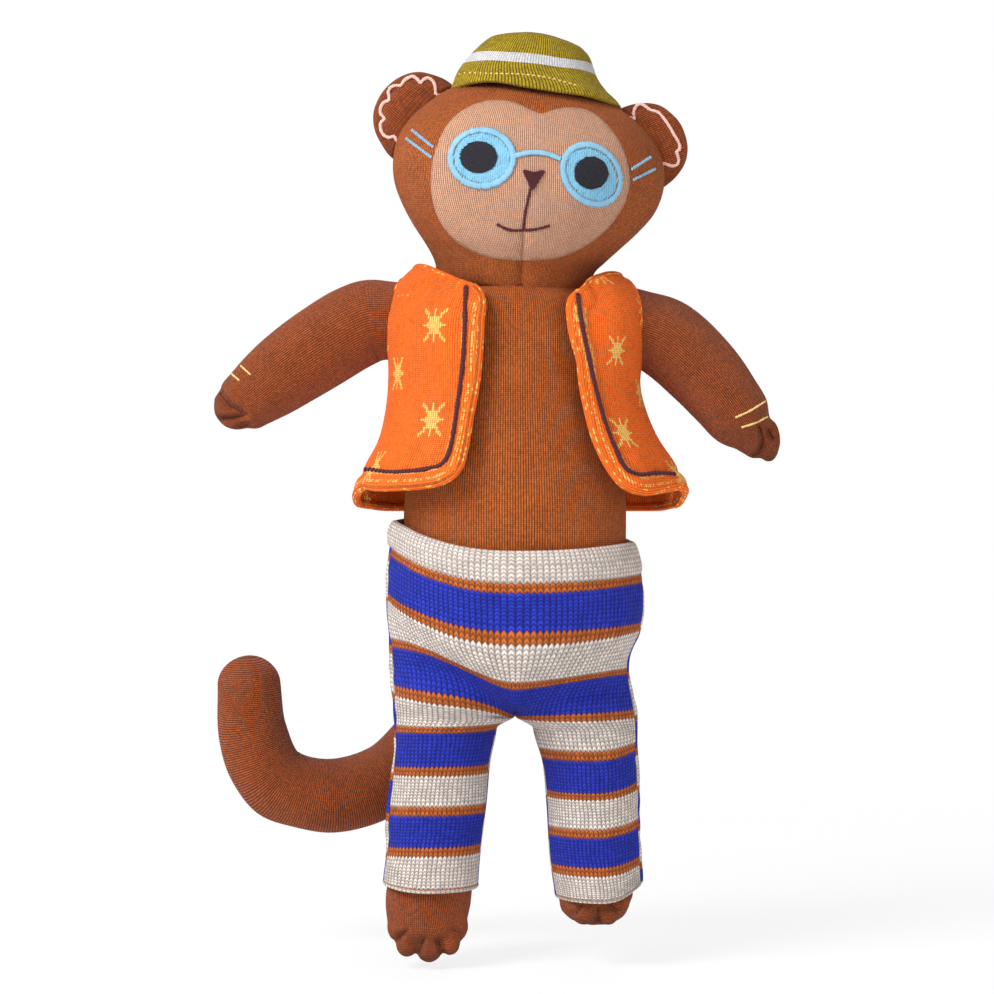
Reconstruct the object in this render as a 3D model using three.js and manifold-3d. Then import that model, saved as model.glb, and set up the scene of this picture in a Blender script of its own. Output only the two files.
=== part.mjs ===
// Knitted monkey doll with glasses, bucket hat, open waistcoat and striped trousers.
// Millimetres, +Z up. The doll faces -Y and its own left hand is on the +X side.
import * as THREE from 'three';
import { mergeVertices } from 'three/addons/utils/BufferGeometryUtils.js';
import Module from 'manifold-3d';

const wasm = await Module();
wasm.setup();

// Driving dimensions

const fit = {
  gap: 0.35, // between pieces that are sewn or laid together
  joint: 0.6, // between a rounded limb end and its socket
  weld: 0.0005, // corners nearer than this are one corner
  overrun: 60, // how far a cutting shape runs past what it cuts
};

// Sides round each section and steps along it
const facets = {
  torso: 24, torsoSteps: 12, head: 24, headSteps: 12, socket: 20, limb: 14, limbSteps: 9, capSteps: 3,
  lobe: 8, lobeSteps: 6, ear: 12, earSteps: 8, hat: 20, hatSteps: 6, vest: 36, vestSteps: 10, hips: 26,
  hipSteps: 9, cuff: 20, cuffSteps: 7, band: 28, roll: 6, oval: 20, tailSteps: 16, rod: 24, outline: 56,
};

const torso = { bottom: -80, top: 98.5, halfWidth: 52, halfDepth: 41 };
// Height, half width and half depth as shares of the torso's own
const torso_shares = [
  [0, 0.46, 0.4], [0.03, 0.68, 0.58], [0.08, 0.84, 0.76], [0.17, 0.95, 0.92], [0.3, 1, 1],
  [0.45, 1, 1], [0.6, 0.95, 0.97], [0.74, 0.9, 0.91], [0.86, 0.91, 0.83], [0.93, 0.88, 0.76],
  [0.975, 0.74, 0.65], [1, 0.5, 0.5],
];

const neck = { x: 0.5, z: 102.5, radius: 20 };

const head = {
  tilt: 7, // degrees, leaning to the doll's left
  centre: 49, // above the neck's middle
  low: 50, // from there down to the chin
  high: 47,
  halfWidth: 63.5,
  halfDepth: 50,
  fullness_share: 0.88, // under 1 rounds the cheeks out
  turnLimit: 30, // degrees either way about the upright
  nodLimit: 15, // degrees down and up
};

// Height, half width on the doll's right and on its left, as shares of the head's own rounded shape
const cheek_shares = [
  [0, 1, 0.9], [0.106, 1, 0.84], [0.153, 0.955, 0.847], [0.234, 0.954, 0.858], [0.318, 0.966, 0.905],
  [0.376, 0.98, 0.946], [0.523, 1.014, 0.985], [0.629, 1.02, 1], [0.825, 1.03, 1.015], [1, 1.06, 1],
];

const patch = { thick: 1.5 };
// Outline of the beige face, across and up, as shares of the head's half width and of its middle's height
const patch_shares = [
  [-0.706, 0.975], [-0.683, 0.745], [-0.6, 0.475], [-0.361, 0.24], [0.009, 0.165], [0.397, 0.28],
  [0.658, 0.58], [0.756, 0.925], [0.7, 1.25], [0.49, 1.5], [0.25, 1.62], [0.035, 1.525],
  [-0.16, 1.61], [-0.343, 1.6], [-0.576, 1.37],
];

const glasses = {
  rimHigh: 1.5,
  rimWide: 2.4,
  lensHigh: 0.8,
  bridgeWide: 2.4,
  templeWide: 1.9,
  templeHigh: 1.3,
  right: { x: -22.6, z: 51.2, halfWidth: 16, halfHeight: 14.4, turn: 0 },
  left: { x: 30, z: 50.4, halfWidth: 14.8, halfHeight: 15.6, turn: -10 },
};
// Height of the bridge over the right eye's middle, and its rise and arch on the way across
const bridge_shares = { low: 0.15, rise: 0.12, arch: 0.1 };
const pupil = {
  high: 0.9,
  halfWidth: 7.9,
  halfHeight: 7.2,
  right: { x: -24, z: 51.5 },
  left: { x: 28.6, z: 50.6 },
};
const nose = { x: 2.4, top: 47, bottom: 40.8, halfWidth: 4.7, high: 1.8 };
const mouth = { x: 0.6, z: 20.4, halfWidth: 11.6, rise: 2.4, wide: 1.7, high: 1.1 };

const ear = {
  halfLength: 22.4,
  height: 19.4,
  halfThick: 4.6,
  lean: 33.4, // degrees from upright, the top towards the head's axis
};
// The middle of each ear's fold line, across, back and up, as shares of the head's own sizes
const earSeat_shares = { x: 0.888, y: 0.1, z: 0.754 };
const earTrim = { thick: 1.1, wide: 2.3, scallop: 1.3, count: 7 };
const earTrim_shares = { line: 0.84, start: 0.09, end: 0.91 };

const hat = {
  low: 9.4, // the brim's edge, under the head's top
  bandBottom: 2.6, // over the head's top
  bandTop: 7.6,
  top: 20.9,
  wall: 2.4,
};
// Height, middle and half width, as shares of the hat's height and the head's half width
const hat_shares = [
  [0, -0.02, 0.636], [0.09, -0.032, 0.611], [0.22, -0.063, 0.562], [0.36, -0.088, 0.505],
  [0.475, -0.088, 0.474], [0.65, -0.08, 0.424], [0.755, -0.077, 0.383], [0.85, -0.074, 0.329],
  [0.935, -0.072, 0.22], [1, -0.07, 0.08],
];
const hatDepth_share = 0.97;

const arm = {
  shoulderX: 48.5,
  shoulderZ: 84,
  radius: 17.4,
  reach: 88,
  lowerRight: 25, // limits of the drop, in degrees
  lowerLeft: 15,
};
// Centres along each arm from the shoulder's middle, across and up, as shares of its reach, with half
// width and half depth as shares of its radius
const armRight_shares = [
  [0, 0, 1, 1], [-0.12, 0.005, 1.06, 1.01], [-0.227, 0, 1.115, 1.03], [-0.3, -0.03, 1.13, 1.05],
  [-0.46, -0.123, 1.126, 1.07], [-0.636, -0.239, 1.05, 1.01], [-0.79, -0.355, 0.948, 0.885],
  [-0.892, -0.434, 0.83, 0.72],
];
const armLeft_shares = [
  [0, 0, 1, 1], [0.112, -0.034, 1.02, 1.01], [0.219, -0.074, 1.07, 1.03], [0.318, -0.141, 1.063, 1.05],
  [0.453, -0.268, 1.04, 1.04], [0.58, -0.424, 0.954, 0.98], [0.67, -0.551, 0.816, 0.84],
  [0.715, -0.613, 0.69, 0.68],
];
const finger = { radius: 4.8, length: 7.6, spread: 5.9, count: 4 };
const fingerBow_share = 0.18; // how far the outer ones are set back for their distance

const leg = { hipX: 34.5, hipZ: -95, radius: 20.5, reach: 104 };
// Centres along each leg from the hip's middle, across, back and up, as shares of its reach, with
// half width and half depth as shares of its radius
const legRight_shares = [
  [0, 0, 0, 1, 1], [-0.01, 0, -0.288, 0.917, 0.917], [-0.027, 0, -0.596, 0.898, 0.907],
  [-0.044, 0, -0.788, 0.936, 0.907], [-0.06, -0.053, -0.904, 0.976, 0.732],
  [-0.065, -0.106, -1, 0.878, 0.53],
];
const legLeft_shares = [
  [0, 0, 0, 1, 1], [0.01, 0, -0.288, 0.917, 0.917], [0.026, 0, -0.596, 0.888, 0.898],
  [0.042, 0, -0.78, 0.829, 0.849], [0.026, -0.048, -0.865, 0.839, 0.654],
  [0.023, -0.087, -0.913, 0.751, 0.478],
];
// Each toe's middle from the hip's middle, across, back and up, as shares of the leg's reach, and its
// radius as a share of the leg's
const toesRight_shares = [
  [-0.202, -0.096, -0.995, 0.34], [-0.158, -0.125, -1.078, 0.268], [-0.054, -0.144, -1.1, 0.298],
  [0.043, -0.125, -1.072, 0.24], [0.076, -0.096, -0.995, 0.34],
];
const toesLeft_shares = [
  [-0.087, -0.096, -0.885, 0.3], [-0.016, -0.12, -0.925, 0.317], [0.091, -0.12, -0.93, 0.283],
  [0.145, -0.096, -0.886, 0.24],
];
const toeLength_share = 1.15;

const tail = { x: -8, z: -72, baseRadius: 12, root: 17, socket: 1.8, reach: 120 };
// Centres along the tail from the middle of its seat, across, back and up, as shares of its reach, with
// the radius as a share of the radius at its seat
const tail_shares = [
  [0, 0.3, 0, 1], [-0.002, 0.378, -0.002, 1], [-0.046, 0.465, -0.068, 1.12],
  [-0.133, 0.505, -0.183, 1.25], [-0.275, 0.485, -0.358, 1.38], [-0.45, 0.44, -0.533, 1.45],
  [-0.71, 0.39, -0.6, 1.492], [-0.908, 0.362, -0.525, 1.45], [-0.992, 0.342, -0.345, 1.375],
  [-1.005, 0.333, -0.146, 1.27],
];

const vest = { wall: 2.4, hem: -3, top: 111.5, folds: 9, foldDepth: 1 };
// Height as a share of the waistcoat's own, half widths right and left and half depths in front and
// behind as shares of the torso's, and how round the section is, less being squarer
const vest_shares = [
  [0, 1.425, 1.53, 1.22, 1.35, 1], [0.07, 1.41, 1.512, 1.22, 1.317, 1],
  [0.166, 1.346, 1.442, 1.183, 1.244, 1], [0.262, 1.238, 1.3, 1.134, 1.17, 0.95],
  [0.384, 1.173, 1.188, 1.085, 1.122, 0.9],
  [0.507, 1.146, 1.131, 1.049, 1.085, 0.82], [0.603, 1.146, 1.15, 1.024, 1.061, 0.76],
  [0.69, 1.165, 1.17, 0.988, 1.024, 0.74], [0.786, 1.173, 1.173, 0.927, 0.976, 0.74],
  [0.856, 1.135, 1.14, 0.866, 0.902, 0.78], [0.917, 1.054, 1.05, 0.817, 0.83, 0.84],
  [1, 0.87, 0.845, 0.72, 0.72, 0.93],
];
// The opening in front from the doll's right hem round the neck to its left hem, across as shares of the
// torso's half width and up as shares of the waistcoat's top
const vestOpening_shares = [
  [-1.173, 0.03], [-0.962, 0.039], [-0.596, 0.068], [-0.45, 0.135], [-0.4, 0.201], [-0.312, 0.475],
  [-0.262, 0.709], [-0.242, 0.816], [-0.356, 0.893], [-0.635, 0.96], [-0.827, 0.996], [-0.827, 1.085],
  [0.827, 1.085], [0.827, 0.96], [0.654, 0.915], [0.513, 0.87], [0.427, 0.811], [0.438, 0.717],
  [0.513, 0.547], [0.588, 0.381], [0.669, 0.25], [0.788, 0.126], [0.913, 0.059], [1.173, 0.056],
];
// The edge behind the neck, in the same shares
const vestNape_shares = [
  [-0.98, 1.01], [-0.73, 0.973], [-0.385, 0.937], [0, 0.929], [0.385, 0.937], [0.73, 0.973], [0.98, 1.01],
];

const trousers = {
  wall: 2.2,
  crotch: -104,
  hem: -177.6,
  band: 3.2, // radius of the rolled waistband
  cuff: { thick: 1.5, high: 3 }, // half sizes of the looser stitches at the hem
  waistHeight: -12.6, // where the waistband's plane meets the torso's axis
  folds: 6,
  foldDepth: 0.6,
};
const waistTilt_share = { x: -0.148, y: 0.228 }; // rise of the waistband per length across and back
// Way down from the waist to the crotch, half widths right and left and half depths in front and behind
// as shares of the torso's
const hip_shares = [
  [-0.25, 1.058, 1.038, 1.088, 1.088], [0, 1.104, 1.046, 1.102, 1.102], [0.168, 1.146, 1.104, 1.117, 1.117],
  [0.409, 1.146, 1.165, 1.134, 1.134], [0.54, 1.148, 1.127, 1.122, 1.132], [0.661, 1.142, 1.1, 1.093, 1.122],
  [0.792, 1.127, 1.1, 1, 1.063], [0.9, 1.077, 1.06, 0.878, 0.951], [1, 0.885, 0.885, 0.683, 0.756],
];
// Way down from the hip to the hem, each leg's inner and outer side from the doll's middle and the half
// depth, all as shares of the hip's own distance
const trouserLeg_shares = [
  [0, 0.232, 1.675, 0.232, 1.675, 0.93], [0.109, 0.243, 1.67, 0.243, 1.67, 0.84],
  [0.327, 0.33, 1.67, 0.365, 1.687, 0.71], [0.557, 0.383, 1.736, 0.423, 1.704, 0.69],
  [0.896, 0.478, 1.786, 0.475, 1.722, 0.683], [1, 0.5, 1.826, 0.55, 1.745, 0.683],
];

// Shapes that the pieces share

const round = (degrees) => THREE.MathUtils.degToRad(degrees);

// Smoothly reads a table whose rows start with their place along it
function readRows(rows, place) {
  let i = 0;
  while (i < rows.length - 2 && place > rows[i + 1][0]) i += 1;
  const before = rows[Math.max(i - 1, 0)];
  const after = rows[Math.min(i + 2, rows.length - 1)];
  const [from, to] = [rows[i], rows[i + 1]];
  const span = to[0] - from[0];
  const t = Math.min(Math.max((place - from[0]) / span, 0), 1);
  return from.slice(1).map((value, k) => {
    const next = to[k + 1];
    const slopeIn = i > 0 ? ((next - before[k + 1]) / (to[0] - before[0])) * span : next - value;
    const last = i === rows.length - 2;
    const slopeOut = last ? next - value : ((after[k + 1] - value) / (after[0] - from[0])) * span;
    const [t2, t3] = [t * t, t * t * t];
    return value * (2 * t3 - 3 * t2 + 1) + slopeIn * (t3 - 2 * t2 + t)
      + next * (3 * t2 - 2 * t3) + slopeOut * (t3 - t2);
  });
}

// A closed skin through rings of points, with a middle point at each end or joined end to end
function skin(rings, ends) {
  const sides = rings[0].length;
  const points = rings.flat();
  const faces = [];
  const count = rings.length;
  const last = ends ? count - 1 : count;
  for (let i = 0; i < last; i += 1) {
    for (let j = 0; j < sides; j += 1) {
      const [a, b] = [i * sides + j, i * sides + ((j + 1) % sides)];
      const [c, d] = [((i + 1) % count) * sides + j, ((i + 1) % count) * sides + ((j + 1) % sides)];
      faces.push(a, b, d, a, d, c);
    }
  }
  if (ends) {
    const [first, final] = [points.length, points.length + 1];
    points.push(ends[0], ends[1]);
    for (let j = 0; j < sides; j += 1) {
      faces.push(first, (j + 1) % sides, j);
      faces.push(final, (count - 1) * sides + j, (count - 1) * sides + ((j + 1) % sides));
    }
  }
  const geometry = new THREE.BufferGeometry();
  const places = points.flatMap((point) => point.toArray());
  geometry.setAttribute('position', new THREE.Float32BufferAttribute(places, 3));
  geometry.setIndex(faces);
  return geometry;
}

// One ring of points; other and before are an uneven section's half width and depth on its far sides
function ring(centre, across, deep, size) {
  const { wide, thick, other = wide, before = thick, roundness = 1, sides } = size;
  const { folds = 0, foldDepth = 0 } = size;
  const bend = (value) => Math.sign(value) * Math.abs(value) ** roundness;
  return Array.from({ length: sides }, (_, j) => {
    const angle = (2 * Math.PI * j) / sides;
    const swell = foldDepth * Math.cos(folds * angle);
    const [reach, depth] = [Math.cos(angle) > 0 ? other : wide, Math.sin(angle) > 0 ? thick : before];
    return centre.clone()
      .addScaledVector(across, (reach + swell) * bend(Math.cos(angle)))
      .addScaledVector(deep, (depth + swell) * bend(Math.sin(angle)));
  });
}

// A geometry as a solid that can be joined and cut
function solid(geometry) {
  const bare = geometry.index ? geometry.clone() : geometry;
  bare.deleteAttribute('normal');
  bare.deleteAttribute('uv');
  const merged = mergeVertices(bare, fit.weld);
  const made = new wasm.Manifold(new wasm.Mesh({
    numProp: 3,
    vertProperties: new Float32Array(merged.attributes.position.array),
    triVerts: new Uint32Array(merged.index.array),
  }));
  if (made.volume() >= 0) return made;
  const turned = merged.index.array.slice();
  for (let i = 0; i < turned.length; i += 3) [turned[i], turned[i + 1]] = [turned[i + 1], turned[i]];
  return new wasm.Manifold(new wasm.Mesh({
    numProp: 3,
    vertProperties: new Float32Array(merged.attributes.position.array),
    triVerts: new Uint32Array(turned),
  }));
}

// A cut or joined solid as a geometry again
function shape(made) {
  const mesh = made.getMesh();
  const geometry = new THREE.BufferGeometry();
  geometry.setAttribute('position', new THREE.BufferAttribute(mesh.vertProperties, 3));
  geometry.setIndex(new THREE.BufferAttribute(mesh.triVerts, 1));
  return geometry;
}

const axisX = new THREE.Vector3(1, 0, 0);
const axisY = new THREE.Vector3(0, 1, 0);
const axisZ = new THREE.Vector3(0, 0, 1);

const between = (from, to, count) => (
  Array.from({ length: count + 1 }, (_, i) => from + ((to - from) * i) / count));

function ball(centre, radius) {
  const geometry = new THREE.SphereGeometry(radius, facets.socket, facets.socket / 2);
  geometry.translate(centre.x, centre.y, centre.z);
  return solid(geometry);
}

// An outline drawn as the doll is seen from the front, pushed back from front to back
function frontPlate(points, front, back) {
  const outline = new THREE.Shape(points.map((p) => new THREE.Vector2(p.x, p.z)));
  const geometry = new THREE.ExtrudeGeometry(outline, { depth: back - front, bevelEnabled: false });
  geometry.rotateX(Math.PI / 2);
  geometry.translate(0, back, 0);
  return solid(geometry);
}

// A stuffed limb along a smooth route, with rounded ends
function limb(route, origin, options = {}) {
  const { grow = 0, sides = facets.limb, steps = facets.limbSteps } = options;
  const { startRound = 1, endRound = 0.7 } = options;
  const places = route.map((p) => new THREE.Vector3(p.x, p.y, p.z).add(origin));
  const path = new THREE.CatmullRomCurve3(places, false, 'centripetal');
  const sizes = new THREE.CatmullRomCurve3(route.map((p) => new THREE.Vector3(p.wide, p.deep, 0)));
  const frame = (t) => {
    const along = path.getTangent(t);
    const side = options.flat ?? axisY;
    const across = new THREE.Vector3().crossVectors(side, along).normalize();
    const deep = new THREE.Vector3().crossVectors(along, across).normalize();
    return { along, across, deep, centre: path.getPoint(t), size: sizes.getPoint(t) };
  };
  const rings = [];
  const cap = (t, way, roundness) => {
    const { along, across, deep, centre, size } = frame(t);
    const reach = roundness * Math.min(size.x, size.y) + (roundness ? grow : 0);
    const turns = between(0, Math.PI / 2, facets.capSteps + 1).slice(1, -1);
    const made = turns.map((turn) => ring(
      centre.clone().addScaledVector(along, way * reach * Math.sin(turn)), across, deep,
      { wide: (size.x + grow) * Math.cos(turn), thick: (size.y + grow) * Math.cos(turn), sides },
    ));
    return { rings: roundness ? made : [], tip: centre.clone().addScaledVector(along, way * reach) };
  };
  const start = cap(0, -1, startRound);
  const end = cap(1, 1, endRound);
  rings.push(...start.rings.reverse());
  for (let i = 0; i <= steps; i += 1) {
    const { across, deep, centre, size } = frame(i / steps);
    rings.push(ring(centre, across, deep, { wide: size.x + grow, thick: size.y + grow, sides }));
  }
  rings.push(...end.rings);
  return solid(skin(rings, [start.tip, end.tip]));
}

// A short rounded finger or toe
function lobe(centre, ways, radius, length) {
  const geometry = new THREE.SphereGeometry(radius, facets.lobe, facets.lobeSteps);
  geometry.scale(1, 1, length / radius);
  geometry.applyMatrix4(new THREE.Matrix4().makeBasis(...ways).setPosition(centre));
  return solid(geometry);
}

// A route read from its shares
const routeOf = (shares, reach, radius) => shares.map(([x, y, z, wide, deep = wide]) => (
  { x: x * reach, y: y * reach, z: z * reach, wide: wide * radius, deep: deep * radius }));

const joinAll = (first, others) => others.reduce((whole, next) => whole.add(next), first);
const cutAll = (first, others) => others.reduce((whole, next) => whole.subtract(next), first);

// Torso and neck

function torsoAt(z) {
  const share = (z - torso.bottom) / (torso.top - torso.bottom);
  const [wide, thick] = readRows(torso_shares, share);
  return { wide: wide * torso.halfWidth, thick: thick * torso.halfDepth };
}

function stack(heights, sizeAt, sides, folding = () => ({})) {
  const rings = heights.map((z) => {
    const { x = 0, ...size } = sizeAt(z);
    return ring(new THREE.Vector3(x, 0, z), axisX, axisY, { ...size, sides, ...folding(z) });
  });
  const middle = (z) => new THREE.Vector3(sizeAt(z).x ?? 0, 0, z);
  return solid(skin(rings, [middle(heights[0]), middle(heights[heights.length - 1])]));
}

// Arm routes lie in the plane of the body
const inBodyPlane = (shares) => shares.map(([x, z, ...size]) => [x, 0, z, ...size]);
const armRight = routeOf(inBodyPlane(armRight_shares), arm.reach, arm.radius);
const armLeft = routeOf(inBodyPlane(armLeft_shares), arm.reach, arm.radius);
const legRight = routeOf(legRight_shares, leg.reach, leg.radius);
const legLeft = routeOf(legLeft_shares, leg.reach, leg.radius);

const shoulders = [-1, 1].map((side) => new THREE.Vector3(side * arm.shoulderX, 0, arm.shoulderZ));
const hips = [-1, 1].map((side) => new THREE.Vector3(side * leg.hipX, 0, leg.hipZ));
const neckMiddle = new THREE.Vector3(neck.x, 0, neck.z);
const tailSeat = new THREE.Vector3(tail.x, 0, tail.z);

// A round bar along Y, for the tail's seat in the back
function rod(centre, radius, front, back) {
  const geometry = new THREE.CylinderGeometry(radius, radius, back - front, facets.rod);
  geometry.translate(centre.x, (front + back) / 2, centre.z);
  return solid(geometry);
}

function torsoSolid() {
  return cutAll(torsoSkin(0), [
    ...shoulders.map((place) => ball(place, arm.radius + fit.joint)),
    ...hips.map((place) => ball(place, leg.radius + fit.joint)),
    ball(neckMiddle, neck.radius + fit.joint),
    armDent(armRight, shoulders[0], -arm.lowerRight),
    armDent(armLeft, shoulders[1], arm.lowerLeft),
    rod(tailSeat, tail.baseRadius + tail.socket, tail.root - fit.joint, fit.overrun),
  ]);
}

const dent_shares = { along: 0.72, radius: 1.12 };

// The dent that an arm presses into the torso's side when it is let down to its limit
function armDent(route, shoulder, degrees) {
  const along = new THREE.Vector3(route[3].x, 0, route[3].z).normalize();
  const lowered = along.applyAxisAngle(axisY, round(degrees));
  const middle = shoulder.clone().addScaledVector(lowered, arm.radius * dent_shares.along);
  return ball(middle, arm.radius * dent_shares.radius);
}

const neckSolid = () => ball(neckMiddle, neck.radius);

// Head, in its own frame with the neck's middle at zero

function headSolid(grow) {
  const rows = facets.headSteps;
  const rings = [];
  for (let i = 1; i < rows; i += 1) {
    const turn = -Math.PI / 2 + (Math.PI * i) / rows;
    const reach = turn < 0 ? head.low : head.high;
    const power = turn < 0 ? head.fullness_share : 1;
    const centre = new THREE.Vector3(0, 0, head.centre + (reach + grow) * Math.sin(turn));
    const place = (head.low + reach * Math.sin(turn)) / (head.low + head.high);
    const [right, left] = readRows(cheek_shares, place);
    const [size, more] = [Math.cos(turn) ** power, grow * Math.cos(turn)];
    rings.push(ring(centre, axisX, axisY, {
      wide: head.halfWidth * size * right + more,
      other: head.halfWidth * size * left + more,
      thick: head.halfDepth * size + more,
      sides: facets.head,
    }));
  }
  const ends = [-head.low - grow, head.high + grow].map((z) => new THREE.Vector3(0, 0, head.centre + z));
  return solid(skin(rings, ends));
}

// A thin layer over the head's front, cut to an outline
function faceLayer(outline, under, thick) {
  const plate = frontPlate(outline, -fit.overrun - head.halfDepth, 0);
  return headSolid(under + thick).subtract(headSolid(under)).intersect(plate);
}

// Points round an oval that may be turned
function oval(at, halfWidth, halfHeight, turn = 0, count = facets.oval) {
  return Array.from({ length: count }, (_, i) => {
    const angle = (2 * Math.PI * i) / count;
    const [x, z] = [halfWidth * Math.cos(angle), halfHeight * Math.sin(angle)];
    return {
      x: at.x + x * Math.cos(round(turn)) - z * Math.sin(round(turn)),
      z: at.z + x * Math.sin(round(turn)) + z * Math.cos(round(turn)),
    };
  });
}

// The outline of a band of one width along a line of points
function stroke(points, wide) {
  const sideOf = (i) => {
    const [a, b] = [points[Math.max(i - 1, 0)], points[Math.min(i + 1, points.length - 1)]];
    const length = Math.hypot(b.x - a.x, b.z - a.z);
    return { x: (-(b.z - a.z) / length) * (wide / 2), z: ((b.x - a.x) / length) * (wide / 2) };
  };
  const one = points.map((p, i) => ({ x: p.x + sideOf(i).x, z: p.z + sideOf(i).z }));
  const other = points.map((p, i) => ({ x: p.x - sideOf(i).x, z: p.z - sideOf(i).z }));
  return [...one, ...other.reverse()];
}

const onPatch = fit.gap + patch.thick + fit.gap;

function patchSolid() {
  const corners = patch_shares.map(([x, z]) => new THREE.Vector3(x * head.halfWidth, 0, z * head.centre));
  const curve = new THREE.CatmullRomCurve3(corners, true, 'centripetal');
  const outline = curve.getPoints(facets.outline).slice(0, -1).map((p) => ({ x: p.x, z: p.z }));
  return faceLayer(outline, fit.gap, patch.thick);
}

function rimSolid(at) {
  const outer = oval(at, at.halfWidth, at.halfHeight, at.turn);
  const inner = oval(at, at.halfWidth - glasses.rimWide, at.halfHeight - glasses.rimWide, at.turn);
  const hole = frontPlate(inner, -fit.overrun - head.halfDepth, 0);
  return faceLayer(outer, onPatch, glasses.rimHigh).subtract(hole);
}

function lensSolid(at) {
  const less = glasses.rimWide + fit.gap;
  return faceLayer(oval(at, at.halfWidth - less, at.halfHeight - less, at.turn), onPatch, glasses.lensHigh);
}

const onLens = onPatch + glasses.lensHigh + fit.gap;
const pupilSolid = (at) => faceLayer(oval(at, pupil.halfWidth, pupil.halfHeight), onLens, pupil.high);

function bridgeSolid() {
  const clear = fit.gap * 2;
  const from = glasses.right.x + glasses.right.halfWidth + clear;
  const to = glasses.left.x - glasses.left.halfWidth - clear;
  const line = between(0, 1, 6).map((t) => ({
    x: from + (to - from) * t,
    z: glasses.right.z + glasses.right.halfHeight * (bridge_shares.low
      + bridge_shares.rise * t + bridge_shares.arch * Math.sin(Math.PI * t)),
  }));
  return faceLayer(stroke(line, glasses.bridgeWide), onPatch, glasses.rimHigh);
}

// Each temple is a pair of lines running up and back from the rim, past the face's edge
const temple_shares = {
  right: [[[-0.895, 1.28], [-0.745, 1.145]], [[-0.925, 1.2], [-0.77, 1.05]]],
  left: [[[0.86, 1.3], [0.775, 1.165]], [[0.896, 1.2], [0.79, 1.07]]],
};

function templeSolid([from, to]) {
  const place = ([x, z]) => ({ x: x * head.halfWidth, z: z * head.centre });
  return faceLayer(stroke([place(from), place(to)], glasses.templeWide), fit.gap, glasses.templeHigh)
    .subtract(patchSolid())
    .subtract(faceLayer(patchOutlineGrown(), 0, patch.thick * 4));
}

// The face's outline set out by a sewing gap, to keep the temples clear of it
function patchOutlineGrown() {
  const corners = patch_shares.map(([x, z]) => {
    const [px, pz] = [x * head.halfWidth, z * head.centre];
    const length = Math.hypot(px, pz - head.centre);
    const out = (length + 2 * fit.gap) / length;
    return new THREE.Vector3(px * out, 0, head.centre + (pz - head.centre) * out);
  });
  const curve = new THREE.CatmullRomCurve3(corners, true, 'centripetal');
  return curve.getPoints(facets.outline).slice(0, -1).map((p) => ({ x: p.x, z: p.z }));
}

function noseSolid() {
  const outline = [
    { x: nose.x - nose.halfWidth, z: nose.top }, { x: nose.x, z: nose.bottom },
    { x: nose.x + nose.halfWidth, z: nose.top },
  ];
  return faceLayer(outline, onPatch, nose.high);
}

function mouthSolid() {
  const clear = fit.gap * 2;
  const upright = stroke([{ x: nose.x, z: nose.bottom - clear }, { x: mouth.x, z: mouth.z }], mouth.wide);
  const smile = between(-1, 1, 8).map((t) => ({
    x: mouth.x + mouth.halfWidth * t,
    z: mouth.z + mouth.rise * t * t,
  }));
  const line = faceLayer(upright, onPatch, mouth.high);
  return line.add(faceLayer(stroke(smile, mouth.wide), onPatch, mouth.high));
}

// Ears

function earFrame(side) {
  const lean = round(ear.lean) * side;
  const down = new THREE.Vector3(Math.sin(lean), 0, -Math.cos(lean));
  const out = new THREE.Vector3(side * Math.cos(round(ear.lean)), 0, Math.sin(round(ear.lean)));
  const middle = new THREE.Vector3(
    side * head.halfWidth * earSeat_shares.x,
    head.halfDepth * earSeat_shares.y,
    (head.centre + head.high) * earSeat_shares.z,
  );
  return { middle, down, out };
}

// Half an oval, turned thin at its rim, with a round back that turns in the head's groove
function earSolid(side, grow, whole = false) {
  const { middle, down, out } = earFrame(side);
  const rows = facets.earSteps;
  const rings = [];
  for (let i = 1; i < rows; i += 1) {
    const turn = -Math.PI / 2 + (Math.PI * i) / rows;
    const centre = middle.clone().addScaledVector(down, (ear.halfLength + grow) * Math.sin(turn));
    const thick = (ear.halfThick + grow) * Math.cos(turn);
    const reach = (ear.height + grow) * Math.cos(turn);
    const size = { wide: thick, thick, other: whole ? thick : reach, sides: facets.ear };
    rings.push(ring(centre, out, axisY, size));
  }
  const ends = [-1, 1].map((way) => middle.clone().addScaledVector(down, way * (ear.halfLength + grow)));
  return solid(skin(rings, ends));
}

function earTrimSolid(side) {
  const { middle, down, out } = earFrame(side);
  const at = (angle, reach) => middle.clone()
    .addScaledVector(down, reach * ear.halfLength * Math.cos(angle))
    .addScaledVector(out, reach * ear.height * Math.sin(angle));
  const scallopShare = earTrim.scallop / ear.height;
  const wave = (t) => earTrim_shares.line + scallopShare * Math.abs(Math.sin(Math.PI * earTrim.count * t));
  const places = between(0, 1, earTrim.count * 4);
  const angle = (t) => Math.PI * THREE.MathUtils.lerp(earTrim_shares.start, earTrim_shares.end, t);
  const inner = places.map((t) => at(angle(t), wave(t) - earTrim.wide / ear.height));
  const outer = places.map((t) => at(angle(t), wave(t)));
  const plate = frontPlate([...outer, ...inner.reverse()], middle.y - fit.overrun, middle.y);
  return earSolid(side, fit.gap + earTrim.thick).subtract(earSolid(side, fit.gap)).intersect(plate);
}

// Hat, a knitted shell in three parts

const headTop = head.centre + head.high;

function hatAt(z, grow) {
  const [shift, half] = readRows(hat_shares, (z - headTop + hat.low) / (hat.low + hat.top));
  const wide = half * head.halfWidth + grow;
  return { wide, thick: wide * hatDepth_share, x: shift * head.halfWidth };
}

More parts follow.
